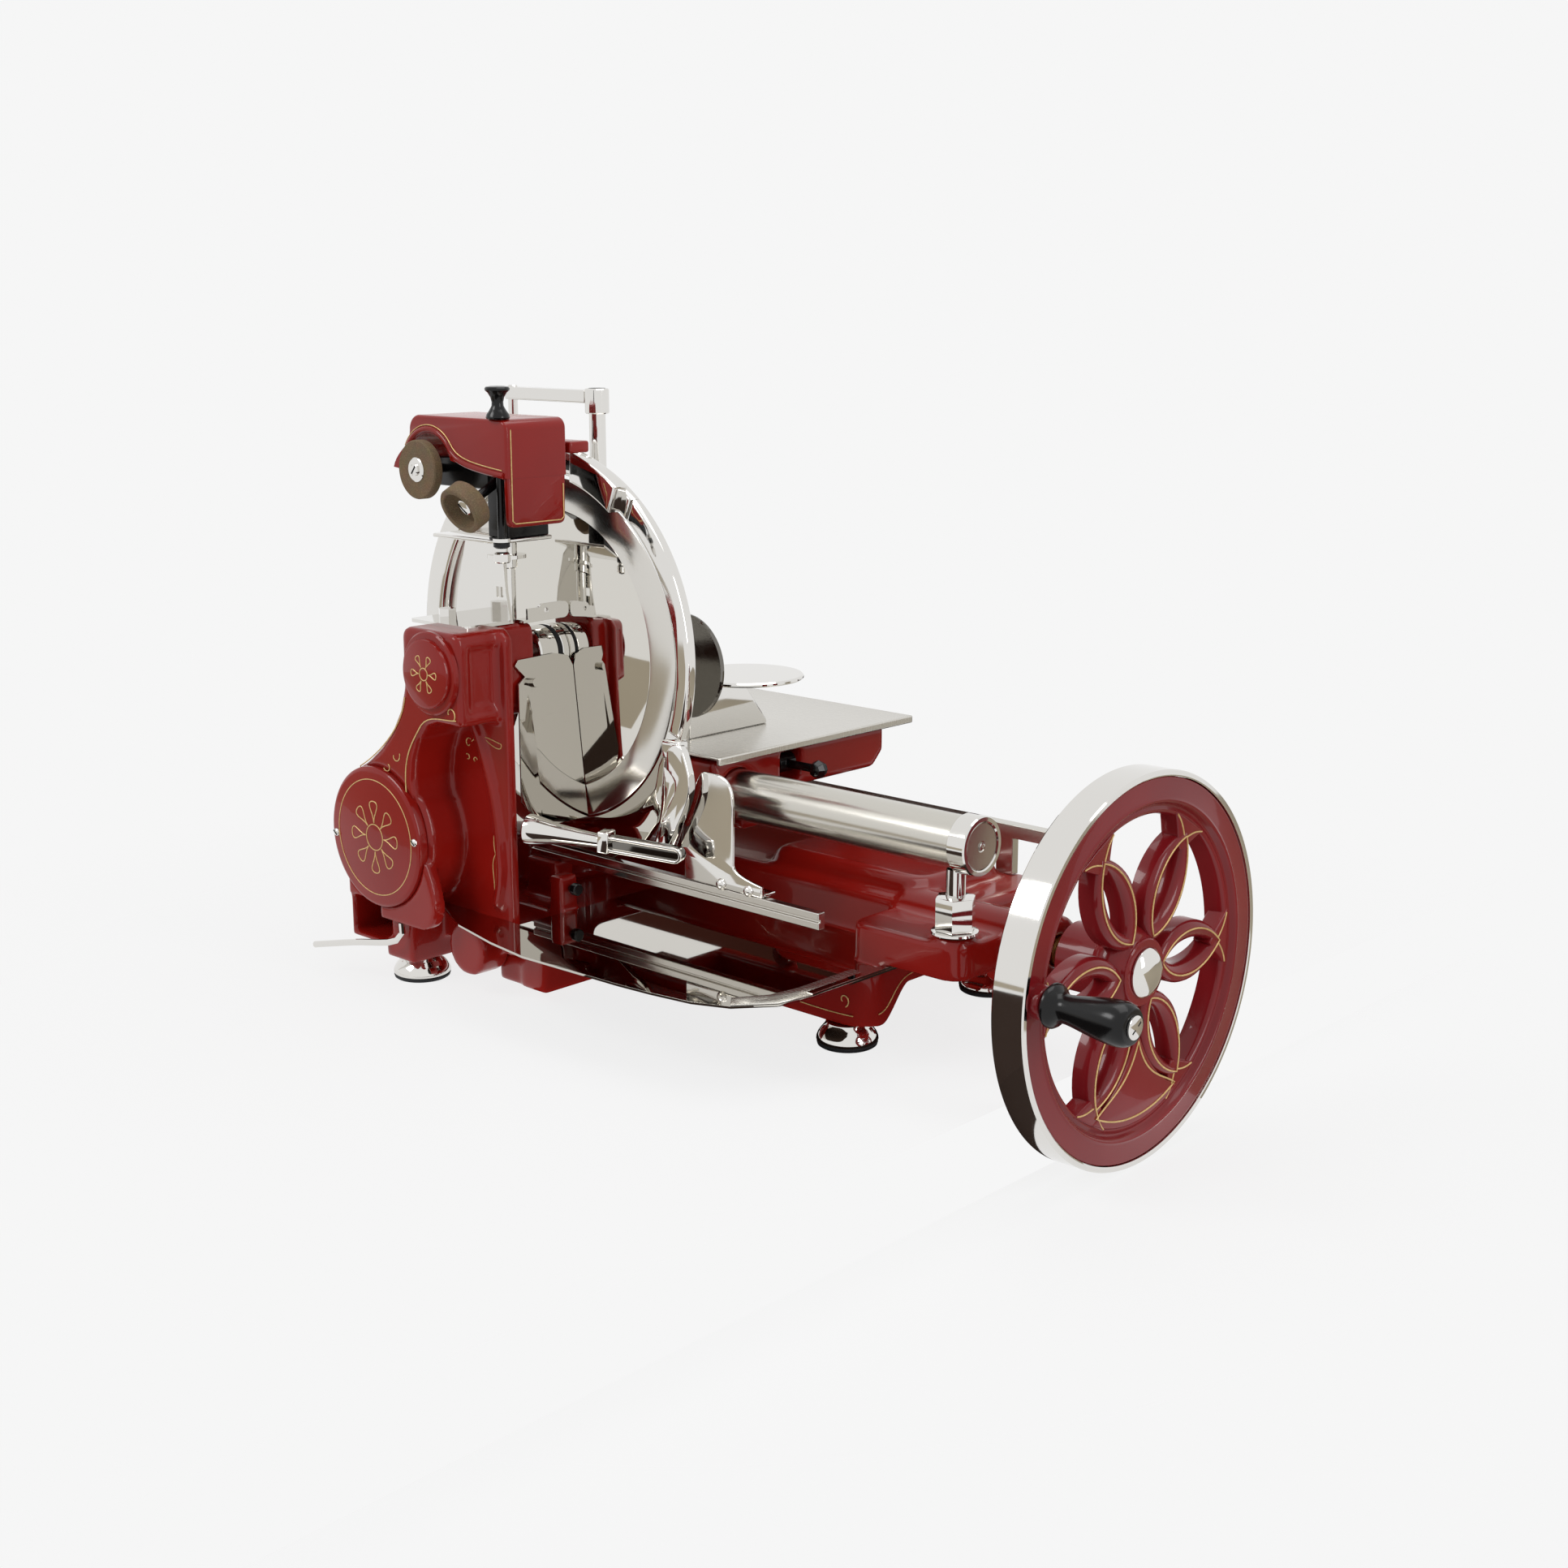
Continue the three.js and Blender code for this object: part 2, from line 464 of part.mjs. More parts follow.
function makeGearCase() {
  const front = plate('y', headOutline(), head.front, column.front + overrun, base.edge);
  const back = plate('y', roundedRectangle(head.left, head.rearRight, head.bottom, head.top, head.corner),
    column.front, head.back);
  const wall = plate('y', columnOutline(), column.front, column.back);
  const drum = turned('y', [drive.layX, 0, drive.layZ], [
    [0, housing.front], [housing.radius - housing.rounding, housing.front],
    [housing.radius, housing.front + housing.rounding], [housing.radius, column.back], [0, column.back],
  ], fineSides);
  const chainCase = pocketSolid(pocket.lip + pocket.wall, column.front, head.back);
  const lowBox = box(lug.left, base.gearRoomRight, column.front, head.back, column.bottom, drive.z);
  const lugBox = box(lug.left, lug.right, lug.front, lug.back, lug.bottom, lug.top);
  const skirtOutline = new THREE.Shape();
  skirtOutline.moveTo(lug.left, lug.top);
  skirtOutline.lineTo(lug.left, lug.roof);
  skirtOutline.lineTo(lug.right, lug.roof);
  skirtOutline.lineTo(lug.right, skirt.bottom);
  skirtOutline.lineTo(skirt.right - lobe.radius, skirt.bottom);
  skirtOutline.quadraticCurveTo(skirt.right, skirt.bottom, skirt.right, skirt.bottom + lobe.radius);
  skirtOutline.quadraticCurveTo(skirt.right - lug.wall, drive.z + lobe.radius, skirt.right - lobe.radius, drive.layZ);
  skirtOutline.lineTo(lug.left, drive.layZ);
  const skirtPlate = plate('y', skirtOutline, skirt.front, skirt.back);
  const footPillar = box(-footBlock.half, footBlock.half, skirt.back - overrun, footBlock.back,
    feet.height, footBlock.top);
  const lobeRod = rod('y', [lobe.x, 0, lobe.z], lobe.radius, lobe.front, column.back);
  const barBoss = rod('y', [bar.left, 0, bar.endZ], bar.bossRadius, column.front, head.back);
  const whole = join(front, back, wall, drum, chainCase, lowBox, lugBox, skirtPlate, footPillar, lobeRod, barBoss,
    archRib());

  const channel = box(lug.left + lug.wall, lug.right + overrun, lug.front - overrun * 2, lug.back - lug.wall * 2,
    lug.bottom + lug.wall, lug.roof);
  const room = pocketSolid(0, pocket.front, head.back + overrun);
  const rebate = pocketSolid(pocket.lip, head.back - pocket.coverThickness, head.back + overrun);
  const sidePanel = box(head.right - head.panelDepth, head.right + overrun, head.front + head.panelInset,
    column.front - overrun, head.bottom + head.panelInset, head.top - head.panelInset);
  const layBore = rod('y', [drive.layX, 0, drive.layZ], drive.shaftRadius + runningGap,
    housing.front + bigCover.depth, head.back);
  const crossBore = rod('y', [drive.layX, 0, drive.z], drive.shaftRadius + runningGap,
    column.front, head.back);
  const bladeBore = rod('y', [blade.x, 0, blade.z], drive.shaftRadius + shaftHousing.bushWall + gap,
    head.front + upperCover.depth * 2, head.back);
  const plugBore = rod('y', [upperCover.x, 0, upperCover.z], upperCover.plugRadius + gap,
    head.front - overrun, head.front + upperCover.plugDepth + gap, fineSides);
  const coverSeat = rod('y', [drive.layX, 0, drive.layZ], bigCover.radius + gap,
    housing.front - bigCover.depth * 2, housing.front, fineSides);
  return cut(whole, channel, room, rebate, sidePanel, layBore, crossBore, bladeBore, plugBore, coverSeat);
}

function makeRearCover() {
  const slab = pocketSolid(pocket.lip - gap, head.back - pocket.coverThickness + gap, head.back);
  const shaftHole = rod('y', [blade.x, 0, blade.z], drive.shaftRadius + runningGap, column.back, blade.frontY);
  const crossHole = rod('y', [drive.layX, 0, drive.z], drive.shaftRadius + runningGap, column.back, blade.frontY);
  return cut(slab, shaftHole, crossHole);
}

function makeUpperCover() {
  const face = head.front - upperCover.depth;
  return turned('y', [upperCover.x, 0, upperCover.z], [
    [0, face], [upperCover.radius - base.edge, face], [upperCover.radius, face + base.edge],
    [upperCover.radius, head.front - upperCover.stepDepth], [upperCover.stepRadius, head.front - upperCover.stepDepth],
    [upperCover.stepRadius, head.front], [upperCover.plugRadius, head.front],
    [upperCover.plugRadius, head.front + upperCover.plugDepth], [0, head.front + upperCover.plugDepth],
  ], fineSides);
}

function makeBigCover() {
  const face = housing.front - bigCover.depth;
  return turned('y', [drive.layX, 0, drive.layZ], [
    [0, face], [bigCover.radius - bigCover.edge, face], [bigCover.radius, face + bigCover.edge],
    [bigCover.radius, housing.front], [0, housing.front],
  ], fineSides);
}

// Blade and the drive inside the case

function makeBlade() {
  const { radius, thickness, frontY } = blade;
  const back = frontY + thickness;
  return turned('y', [blade.x, 0, blade.z], [
    [blade.bore, frontY], [radius - blade.bevel, frontY], [radius, back - blade.edge - blade.relief / 2],
    [radius, back - blade.edge / 2], [radius - blade.bevel, back - blade.relief], [hub.radius * 2, back - blade.relief],
    [hub.radius + hub.seat, back], [blade.bore, back], [blade.bore, frontY],
  ], fineSides);
}

function makeBladeHub() {
  const grooveInner = hub.radius - hub.ringGroove;
  return turned('y', [blade.x, 0, blade.z], [
    [drive.shaftRadius + gap, hub.front], [hub.radius, hub.front], [hub.radius, hub.ringY],
    [grooveInner, hub.ringY], [grooveInner, hub.ringY + hub.ringWidth], [hub.radius, hub.ringY + hub.ringWidth],
    [hub.radius, blade.frontY - gap], [drive.shaftRadius + gap, blade.frontY - gap],
    [drive.shaftRadius + gap, hub.front],
  ]);
}

function makeBladeShaft() {
  const seat = blade.frontY + blade.thickness + gap;
  const end = seat + bladeNut.depth + bladeNut.stub;
  return turned('y', [blade.x, 0, blade.z], [
    [0, bladeShaft.front], [bladeShaft.noseRadius, bladeShaft.front],
    [drive.shaftRadius, bladeShaft.front + overrun], [drive.shaftRadius, seat], [bladeNut.radius, seat],
    [bladeNut.radius, seat + bladeNut.depth], [drive.shaftRadius, seat + bladeNut.depth],
    [drive.shaftRadius, end], [0, end],
  ]);
}

function toothedWheel(teeth, module, centre, from, to, turn = 0) {
  const outline = outlineOf(gearOutline(teeth, module, turn));
  const blank = plate('y', outline, from, to).translate(centre[0], 0, centre[2]);
  const bore = rod('y', centre, drive.shaftRadius + gap, from - overrun, to + overrun);
  return cut(blank, bore);
}

// Bevel gear: an outline that shrinks towards the apex where both axes meet
function bevelWheel(teeth, otherTeeth, axis, apex, sign, turn) {
  const pitchRadius = teeth * drive.bevelModule / 2;
  const apexDistance = otherTeeth * drive.bevelModule / 2;
  const outline = gearOutline(teeth, drive.bevelModule, turn);
  const cone = Math.hypot(pitchRadius, apexDistance);
  const scales = [1, (cone - bevel.face) / cone];
  const rings = scales.map((k) => outline.map(([u, v]) => [u * k, v * k, apexDistance * k + bevel.clearance]));
  rings.unshift(outline.map(([u, v]) => [u, v, apexDistance + bevel.backing]));
  const points = rings.flat();
  const count = outline.length;
  const faces = [];
  for (let level = 0; level < rings.length - 1; level += 1) {
    for (let i = 0; i < count; i += 1) {
      const next = (i + 1) % count;
      const a = level * count + i;
      const b = level * count + next;
      faces.push(a, b, b + count, a, b + count, a + count);
    }
  }
  const contour = outline.map(([u, v]) => new THREE.Vector2(u, v));
  const lid = THREE.ShapeUtils.triangulateShape(contour, []);
  const last = (rings.length - 1) * count;
  for (const [a, b, c] of lid) {
    faces.push(a, c, b);
    faces.push(last + a, last + b, last + c);
  }
  const place = axis === 'x'
    ? ([u, v, w]) => [apex[0] + sign * w, apex[1] + u, apex[2] + v]
    : ([u, v, w]) => [apex[0] + u, apex[1] + sign * w, apex[2] + v];
  const geometry = new THREE.BufferGeometry();
  geometry.setAttribute('position', new THREE.Float32BufferAttribute(points.map(place).flat(), 3));
  geometry.setIndex(faces);
  const bore = rod(axis, axis === 'x' ? [0, apex[1], apex[2]] : [apex[0], 0, apex[2]],
    drive.shaftRadius + gap, base.left - base.shelfRight, base.shelfRight);
  return cut(geometry, bore);
}

const sprocketRadius = (teeth) => chain.pitch / 2 / Math.sin(Math.PI / teeth);
const sprocketTip = (teeth) => sprocketRadius(teeth) - chain.height / 2 - gap;

function makeSprocket(teeth, centre) {
  const rootHalfShare = 0.3;
  const tipHalfShare = 0.12;
  const tip = sprocketTip(teeth);
  const root = tip - chain.pitch / 4;
  const step = Math.PI * 2 / teeth;
  const points = [];
  for (let i = 0; i < teeth; i += 1) {
    for (const [radius, share] of [[root, -rootHalfShare], [tip, -tipHalfShare], [tip, tipHalfShare],
      [root, rootHalfShare]]) {
      const angle = (i + share) * step;
      points.push([radius * Math.cos(angle), radius * Math.sin(angle)]);
    }
  }
  const disc = plate('y', outlineOf(points), chain.y, chain.y + chain.width).translate(centre[0], 0, centre[2]);
  const bore = rod('y', centre, drive.shaftRadius + gap, chain.y - overrun, chain.y + chain.width + overrun);
  return cut(disc, bore);
}

function makeChain() {
  const low = sprocketRadius(chain.bigTeeth);
  const high = sprocketRadius(chain.smallTeeth);
  const half = chain.height / 2;
  const outer = beltOutline(drive.layX, drive.layZ, low + half, blade.x, blade.z, high + half);
  const inner = beltOutline(drive.layX, drive.layZ, low - half, blade.x, blade.z, high - half, THREE.Path);
  outer.holes.push(inner);
  return plate('y', outer, chain.y, chain.y + chain.width, 0, smallSides);
}

function makeLayShaft() {
  const centre = [drive.layX, 0, drive.layZ];
  const shaft = rod('y', centre, drive.shaftRadius, layShaft.front, layShaft.back);
  const turn = Math.PI / 2 + Math.PI / drive.smallTeeth;
  const teeth = plate('y', outlineOf(gearOutline(drive.smallTeeth, drive.module, turn)),
    layShaft.pinionFront, layShaft.pinionBack).translate(centre[0], 0, centre[2]);
  return join(shaft, teeth);
}

function makeCrossShaft() {
  const big = drive.bevelTeeth * drive.bevelModule / 2;
  return rod('y', [drive.layX, 0, drive.z], drive.shaftRadius, crossShaft.front,
    drive.y - big + bevel.face / 2);
}

function makeFlywheelShaft() {
  return turned('x', [0, drive.y, drive.z], [
    [0, drive.layX + bevel.face + gap], [drive.shaftRadius, drive.layX + bevel.face + gap],
    [drive.shaftRadius, wheel.front - wheel.hubDepth], [0, wheel.front - wheel.hubDepth],
  ]);
}

// Flywheel: the petals are overlapping leaves whose edges cross at the tip and flare into the ring
function leafShape(start, end, half, Kind = THREE.Shape) {
  const span = end - start;
  const pull = half * 4 / 3;
  const shape = new Kind();
  shape.moveTo(0, start);
  shape.bezierCurveTo(pull, start + span / 3, pull, end - span / 3, 0, end);
  shape.bezierCurveTo(-pull, end - span / 3, -pull, start + span / 3, 0, start);
  return shape;
}

function hornShape() {
  const crossing = wheel.petalEnd - wheel.petalWall;
  const far = wheel.faceInner;
  const shape = new THREE.Shape();
  shape.moveTo(0, crossing - wheel.petalWall);
  shape.quadraticCurveTo(wheel.petalWall, crossing, wheel.hornHalf, far);
  shape.lineTo(-wheel.hornHalf, far);
  shape.quadraticCurveTo(-wheel.petalWall, crossing, 0, crossing - wheel.petalWall);
  return shape;
}

function counterweightShape() {
  const outer = wheel.faceInner;
  const shape = new THREE.Shape();
  shape.moveTo(0, -wheel.weightStart);
  shape.quadraticCurveTo(wheel.petalWall * 2, -outer + wheel.petalHalf, wheel.weightHalf, -outer + wheel.petalHalf);
  shape.lineTo(wheel.weightHalf, -outer + wheel.petalWall * 2);
  shape.quadraticCurveTo(0, -outer - wheel.petalHalf, -wheel.weightHalf, -outer + wheel.petalWall * 2);
  shape.lineTo(-wheel.weightHalf, -outer + wheel.petalHalf);
  shape.quadraticCurveTo(-wheel.petalWall * 2, -outer + wheel.petalHalf, 0, -wheel.weightStart);
  return shape;
}

function makeFlywheel() {
  const inner = wheel.rim - wheel.rimWall - gap;
  const annulus = turned('x', [0, 0, 0], [
    [wheel.lip, wheel.back], [inner, wheel.back], [inner, wheel.front], [wheel.faceInner, wheel.front],
    [wheel.lip, wheel.ribFront - wheel.rimWall], [wheel.lip, wheel.back],
  ], fineSides);
  const hubBoss = rod('x', [0, 0, 0], wheel.hubRadius, wheel.hubBack, wheel.front);
  const parts = [annulus, hubBoss];
  const slots = [];
  for (let i = 0; i < wheel.petals; i += 1) {
    const angle = (i + 1 / 2) * Math.PI * 2 / wheel.petals;
    const leaf = leafShape(wheel.petalStart, wheel.petalEnd, wheel.petalHalf);
    const slot = leafShape(wheel.hubRadius + wheel.petalWall, wheel.petalEnd - wheel.petalWall,
      wheel.slotHalf);
    for (const piece of [plate('x', leaf, wheel.webBack, wheel.ribFront),
      plate('x', hornShape(), wheel.webBack, wheel.ribFront)]) {
      parts.push(piece.applyMatrix4(new THREE.Matrix4().makeRotationX(angle)));
    }
    slots.push(plate('x', slot, wheel.back - overrun, wheel.front + overrun)
      .applyMatrix4(new THREE.Matrix4().makeRotationX(angle)));
  }
  const weight = plate('x', counterweightShape(), wheel.webBack, wheel.ribFront);
  const handleBoss = rod('x', [0, grip.y - drive.y, grip.z - drive.z], grip.bossRadius, wheel.webBack, grip.bossFront);
  const whole = join(...parts, weight, handleBoss);
  const bore = rod('x', [0, 0, 0], drive.shaftRadius + gap, wheel.hubBack - overrun,
    wheel.front - wheel.hubDepth + gap);
  const boltHole = rod('x', [0, grip.y - drive.y, grip.z - drive.z], grip.boltRadius + gap, wheel.back - overrun,
    grip.bossFront + overrun, smallSides);
  return cut(whole, ...slots, bore, boltHole).translate(0, drive.y, drive.z);
}

function makeFlywheelRim() {
  return ring('x', [0, drive.y, drive.z], wheel.rim - wheel.rimWall, wheel.rim, wheel.rimBack, wheel.rimFront,
    fineSides);
}

function makeHubCap() {
  const seat = wheel.front + gap;
  return turned('x', [0, drive.y, drive.z], [
    [0, seat], [hubCap.radius, seat], [hubCap.radius, seat + hubCap.rimDepth],
    [hubCap.radius * 3 / 4, seat + hubCap.depth * 3 / 4], [hubCap.radius / 3, seat + hubCap.depth],
    [0, seat + hubCap.depth],
  ]);
}

function makeCrankBolt() {
  const end = grip.right + gap;
  return turned('x', [0, grip.y, grip.z], [
    [0, wheel.back], [grip.boltRadius, wheel.back], [grip.boltRadius, end], [grip.boltHead, end],
    [grip.boltHead, end + grip.boltHeadDepth], [0, end + grip.boltHeadDepth],
  ], smallSides);
}

function makeCrankGrip() {
  const length = grip.right - grip.left;
  const bore = grip.boltRadius + gap;
  return turned('x', [0, grip.y, grip.z], [
    [bore, grip.left], [grip.waistRadius, grip.left], [grip.collarRadius, grip.left + overrun],
    [grip.collarRadius, grip.left + grip.collarWidth],
    [grip.waistRadius, grip.left + length * grip.waistShare],
    [grip.bellyRadius - overrun / 2, grip.left + length / 2],
    [grip.bellyRadius, grip.left + length * grip.bellyShare],
    [grip.endRadius, grip.right], [bore, grip.right], [bore, grip.left],
  ]);
}

// Guide tube, post and rails

function makeGuideTube() {
  const whole = rod('x', [0, tube.y, tube.z], tube.radius, tube.left, tube.right, fineSides);
  const bore = rod('x', [0, tube.y, tube.z], tube.bore, tube.left - overrun, tube.right + overrun);
  const slot = box(tube.left + tube.seatLength * 2, tube.right - tube.seatLength * 2, tube.y - tube.slot / 2,
    tube.y + tube.slot / 2, tube.z - tube.radius - overrun, tube.z);
  return cut(whole, bore, slot);
}

function makeTubeCollar() {
  const centre = [0, tube.y, tube.z];
  const plug = rod('x', centre, tube.bore - gap, collar.left - tube.seatLength, collar.left + overrun);
  const body = rod('x', centre, collar.radius, collar.left + gap, collar.right, fineSides);
  const recess = rod('x', centre, collar.recessRadius, collar.right - collar.recess, collar.right + overrun);
  return cut(join(plug, body), recess);
}

function makeGuidePost() {
  const low = post.bossTop;
  return turned('z', [post.x, post.y, 0], [
    [0, low], [postRod.flangeRadius, low], [postRod.flangeRadius, postRod.flangeTop],
    [postRod.radius, postRod.flangeTop], [postRod.radius, tube.z - tube.radius - gap],
    [0, tube.z - tube.radius - gap],
  ]);
}

function makePostNut() {
  const nut = rod('z', [post.x, post.y, 0], postRod.nutRadius, postRod.flangeTop,
    postRod.flangeTop + postRod.nutHeight, 6);
  const bore = rod('z', [post.x, post.y, 0], postRod.radius + gap, postRod.flangeTop - overrun,
    postRod.flangeTop + postRod.nutHeight + overrun);
  return cut(nut, bore);
}

function makeSlideRail() {
  const middle = (rail.bottom + rail.top) / 2;
  const body = box(rail.left, rail.right, rail.front, rail.back, rail.bottom, rail.top);
  const groove = box(rail.left - overrun, rail.right + overrun, rail.front - overrun, rail.front + rail.groove,
    middle - rail.groove / 2, middle + rail.groove / 2);
  return cut(body, groove);
}

function makeGaugePlate() {
  const bottom = rail.top + gap;
  const outlineShares = [[0, 0.17], [0, 0], [1, 0], [1, 0.62], [0.93, 0.77], [0.5, 1], [0.4, 1]];
  const points = scaled(outlineShares, gauge.left, bottom, gauge.right - gauge.left, gauge.top - bottom);
  const face = plate('y', outlineOf(points), gauge.front, gauge.back);
  const foot = box(gauge.left + gauge.footDepth, gauge.footRight, gauge.front, gauge.back + gauge.footDepth,
    bottom, bottom + gauge.back - gauge.front);
  const toe = box(gauge.right - gauge.footDepth, gauge.footRight, gauge.front, gauge.back, bottom, gauge.footTop);
  return join(face, foot, toe);
}

function arcBand(startDegrees, endDegrees, outer) {
  const start = startDegrees * Math.PI / 180;
  const end = endDegrees * Math.PI / 180;
  const shape = new THREE.Shape();
  shape.absarc(guard.x, guard.z, outer, start, end, false);
  const inner = new THREE.Path();
  inner.absarc(blade.x, blade.z, guard.inner, end, start, true);
  const steps = Math.ceil((end - start) / Math.PI * fineSides / 4);
  return new THREE.Shape([...shape.getPoints(steps), ...inner.getPoints(steps)]);
}

function makeGuardRing() {
  const band = plate('y', arcBand(guard.startDegrees, guard.endDegrees, guard.outer), guard.front, guard.back,
    guard.edge);
  const cap = plate('y', arcBand(guard.capStart, guard.capEnd, guard.outer + guard.edge * 2),
    guard.front - guard.capWidth, guard.front + guard.edge * 2, guard.edge);
  return join(band, cap);
}

function makeBladeCover() {
  return plate('y', arcBand(guard.coverStart, guard.coverEnd, guard.outer), guard.front, guard.back, guard.edge);
}

function makeGuardBar() {
  const front = bar.y - bar.depth / 2;
  const back = bar.y + bar.depth / 2;
  const shape = new THREE.Shape();
  const half = bar.thick / 2;
  shape.absarc(bar.left, bar.endZ, bar.endRadius, Math.PI / 3, Math.PI * 5 / 3, false);
  shape.lineTo(bar.joint, bar.joint - half - bar.thick / 2);
  shape.lineTo(bar.right, bar.z - half);
  shape.lineTo(bar.right, bar.z + half);
  shape.lineTo(bar.joint, bar.joint + half);
  const body = plate('y', shape, front, back, softEdge);
  const pin = rod('y', [bar.left, 0, bar.endZ], bar.pinRadius, head.back + gap, bar.y, smallSides);
  const seat = box(bar.lugLeft, bar.lugRight, bar.y, guard.front - gap, bar.lugBottom, bar.lugTop);
  return join(body, pin, seat);
}

function makeGuardArm() {
  const outline = [
    [arm.topLeft, arm.top], [arm.topRight, arm.top], [arm.kneeX, arm.kneeZ], [arm.kneeX - arm.thick / 2, arm.kneeZ - arm.thick],
    [arm.footX + arm.thick, arm.footZ - gap], [arm.footX - arm.thick / 2, arm.footZ - gap],
    [arm.kneeX - arm.thick * 2, arm.kneeZ - arm.thick / 2],
  ];
  const strap = plate('y', outlineOf(outline), arm.front, arm.back, softEdge);
  const clip = box(arm.topLeft - arm.clip, arm.topRight, arm.front, guard.front - gap, arm.top - arm.clip,
    arm.top + arm.clip * 2);
  return join(strap, clip);
}

// The deflector stands square to the blade, its back edge close to the blade's face
function makeDeflector() {
  const depth = deflector.back - deflector.front;
  const height = deflector.z - deflector.bottom;
  const outlineShares = [
    [-0.13, 0.17], [0.2, 0], [1, 0], [1, 0.92], [0.93, 0.984], [0.7, 1.008], [0.06, 1], [0, 0.968],
    [0.15, 0.897], [0.03, 0.857],
  ];
  const points = scaled(outlineShares, deflector.front, deflector.bottom - deflector.z, depth, height);
  const sheet = plate('x', outlineOf(points), 0, deflector.thickness);
  const bolt = rod('x', [0, deflector.front + depth / 4, -height / 7], deflector.bolt, 0,
    deflector.bolt * 2, smallSides);
  const leaned = join(sheet, bolt);
  return leaned.applyMatrix4(new THREE.Matrix4().makeRotationY(-Math.atan(deflector.lean)).setPosition(
    deflector.x, 0, deflector.z));
}

function makeBracket() {
  const face = plate('x', roundedRectangle(bracket.front, bracket.back, bracket.bottom + gap, bracket.top,
    bracket.corner), bracket.x, bracket.x + bracket.thickness);
  const hole = rod('x', [0, bracket.front + bracket.corner * 3 / 2, bracket.top - bracket.corner], bracket.thickness,
    bracket.x - overrun, bracket.x + bracket.thickness + overrun, smallSides);
  const foot = box(head.rearRight - bracket.corner * 2, bracket.x + bracket.thickness, head.back - bracket.corner * 2,
    bracket.front + bracket.corner, bracket.bottom, bracket.bottom + bracket.thickness);
  const heel = box(bracket.x, bracket.x + bracket.thickness, bracket.front - bracket.corner * 2,
    bracket.front + bracket.corner, bracket.bottom, bracket.bottom + bracket.corner * 2);
  return cut(join(face, foot, heel), hole);
}

function makeTray() {
  const width = tray.right - tray.left;
  const depth = tray.back - tray.front;
  const cornerShare = (base.sideBlockRight + runningGap - tray.left) / width;
  const notchShare = (column.front - gap - tray.front) / depth;
  const edgeShares = [
    [0.174, 0.09], [0.315, 0.03], [0.43, 0], [0.52, 0.004], [0.6, 0.012], [0.69, 0.017], [0.77, 0.03],
    [0.86, 0.055], [0.93, 0.11], [0.985, 0.23], [1, 0.37], [1, 0.87], [0.99, 0.95], [0.96, 1], [cornerShare, 1],
    [cornerShare, notchShare], [0, notchShare],
  ];
  const sheet = plate('z', outlineOf(scaled(edgeShares, tray.left, tray.front, width, depth)), tray.bottom,
    tray.bottom + tray.thickness);
  const rimTop = box(tray.right - tray.rim, tray.right - gap, tray.front + depth * edgeShares[10][1],
    tray.back - tray.rim * 2, tray.bottom, tray.bottom + tray.thickness * 2);
  return join(sheet, rimTop);
}

// Carriage, table and press

function makeCarriage() {
  const profile = [
    [carriage.front, carriage.bottom], [carriage.back - carriage.chamfer, carriage.bottom],
    [carriage.back, carriage.bottom + carriage.chamfer], [carriage.back, carriage.top],
    [carriage.front, carriage.top],
  ];
  const shell = plate('x', outlineOf(profile), carriage.left, carriage.right, carriage.edge);
  const sleeve = box(carriage.left, carriage.right, carriage.sleeveFront, carriage.sleeveBack,
    carriage.sleeveBottom, carriage.top - carriage.wall);
  const earFront = roller.y + roller.half + runningGap;
  const ear = box(roller.x - roller.earHalf, roller.x + roller.earHalf, earFront, earFront + roller.earWidth,
    trackTop + runningGap * 2, carriage.bottom + carriage.chamfer);
  const pin = rod('y', [roller.x, 0, trackTop + roller.radius + runningGap], roller.bore - gap,
    roller.y - roller.half, earFront + roller.earWidth, smallSides);
  const whole = join(shell, sleeve, ear, pin);
  const hollow = box(carriage.left + carriage.wall, carriage.right - carriage.wall * 4,
    carriage.sleeveBack + carriage.wall, carriage.back - carriage.chamfer - carriage.wall * 2,
    carriage.bottom - overrun, carriage.top - carriage.wall);
  const tubeBore = rod('x', [0, tube.y, tube.z], tube.radius + gap, carriage.left - overrun,
    carriage.right + overrun, fineSides);
  const slit = box(carriage.left - overrun, carriage.right + overrun, tube.y - tube.slot / 2,
    tube.y + tube.slot / 2, carriage.sleeveBottom - overrun, tube.z);
  const leverSlot = box(carriage.right - lever.slotDepth, carriage.right + overrun, lever.slotFront, lever.slotBack,
    lever.slotBottom, lever.slotTop);
  const leverPin = rod('y', [lever.pivotX, 0, lever.z], lever.hubRadius - gap * 3, lever.slotFront - overrun,
    lever.slotBack + overrun, smallSides);
  const screwBore = rod('y', [feed.x, 0, feed.z], feed.radius + runningGap, feed.left,
    carriage.back + overrun, smallSides);
  return join(cut(whole, hollow, tubeBore, slit, leverSlot, screwBore), leverPin);
}

function makeMeatTable() {
  const sheet = box(table.left, table.right, table.front, table.back, table.bottom, table.bottom + table.thickness);
  const lip = box(table.right, table.right + table.lip, table.front, table.back, table.bottom - table.lip,
    table.bottom + table.thickness);
  const slideInset = table.foot;
  const runner = box(carriage.left + slideInset, carriage.right - slideInset, carriage.sleeveBack,
    feed.knobFront - feed.travel - overrun, carriage.top + gap, table.bottom + overrun / 2);
  return join(sheet, lip, runner);
}

function makeFeedScrew() {
  return rod('y', [feed.x, 0, feed.z], feed.radius, feed.left + runningGap, feed.knobFront + feed.knobDepth / 2,
    smallSides);
}

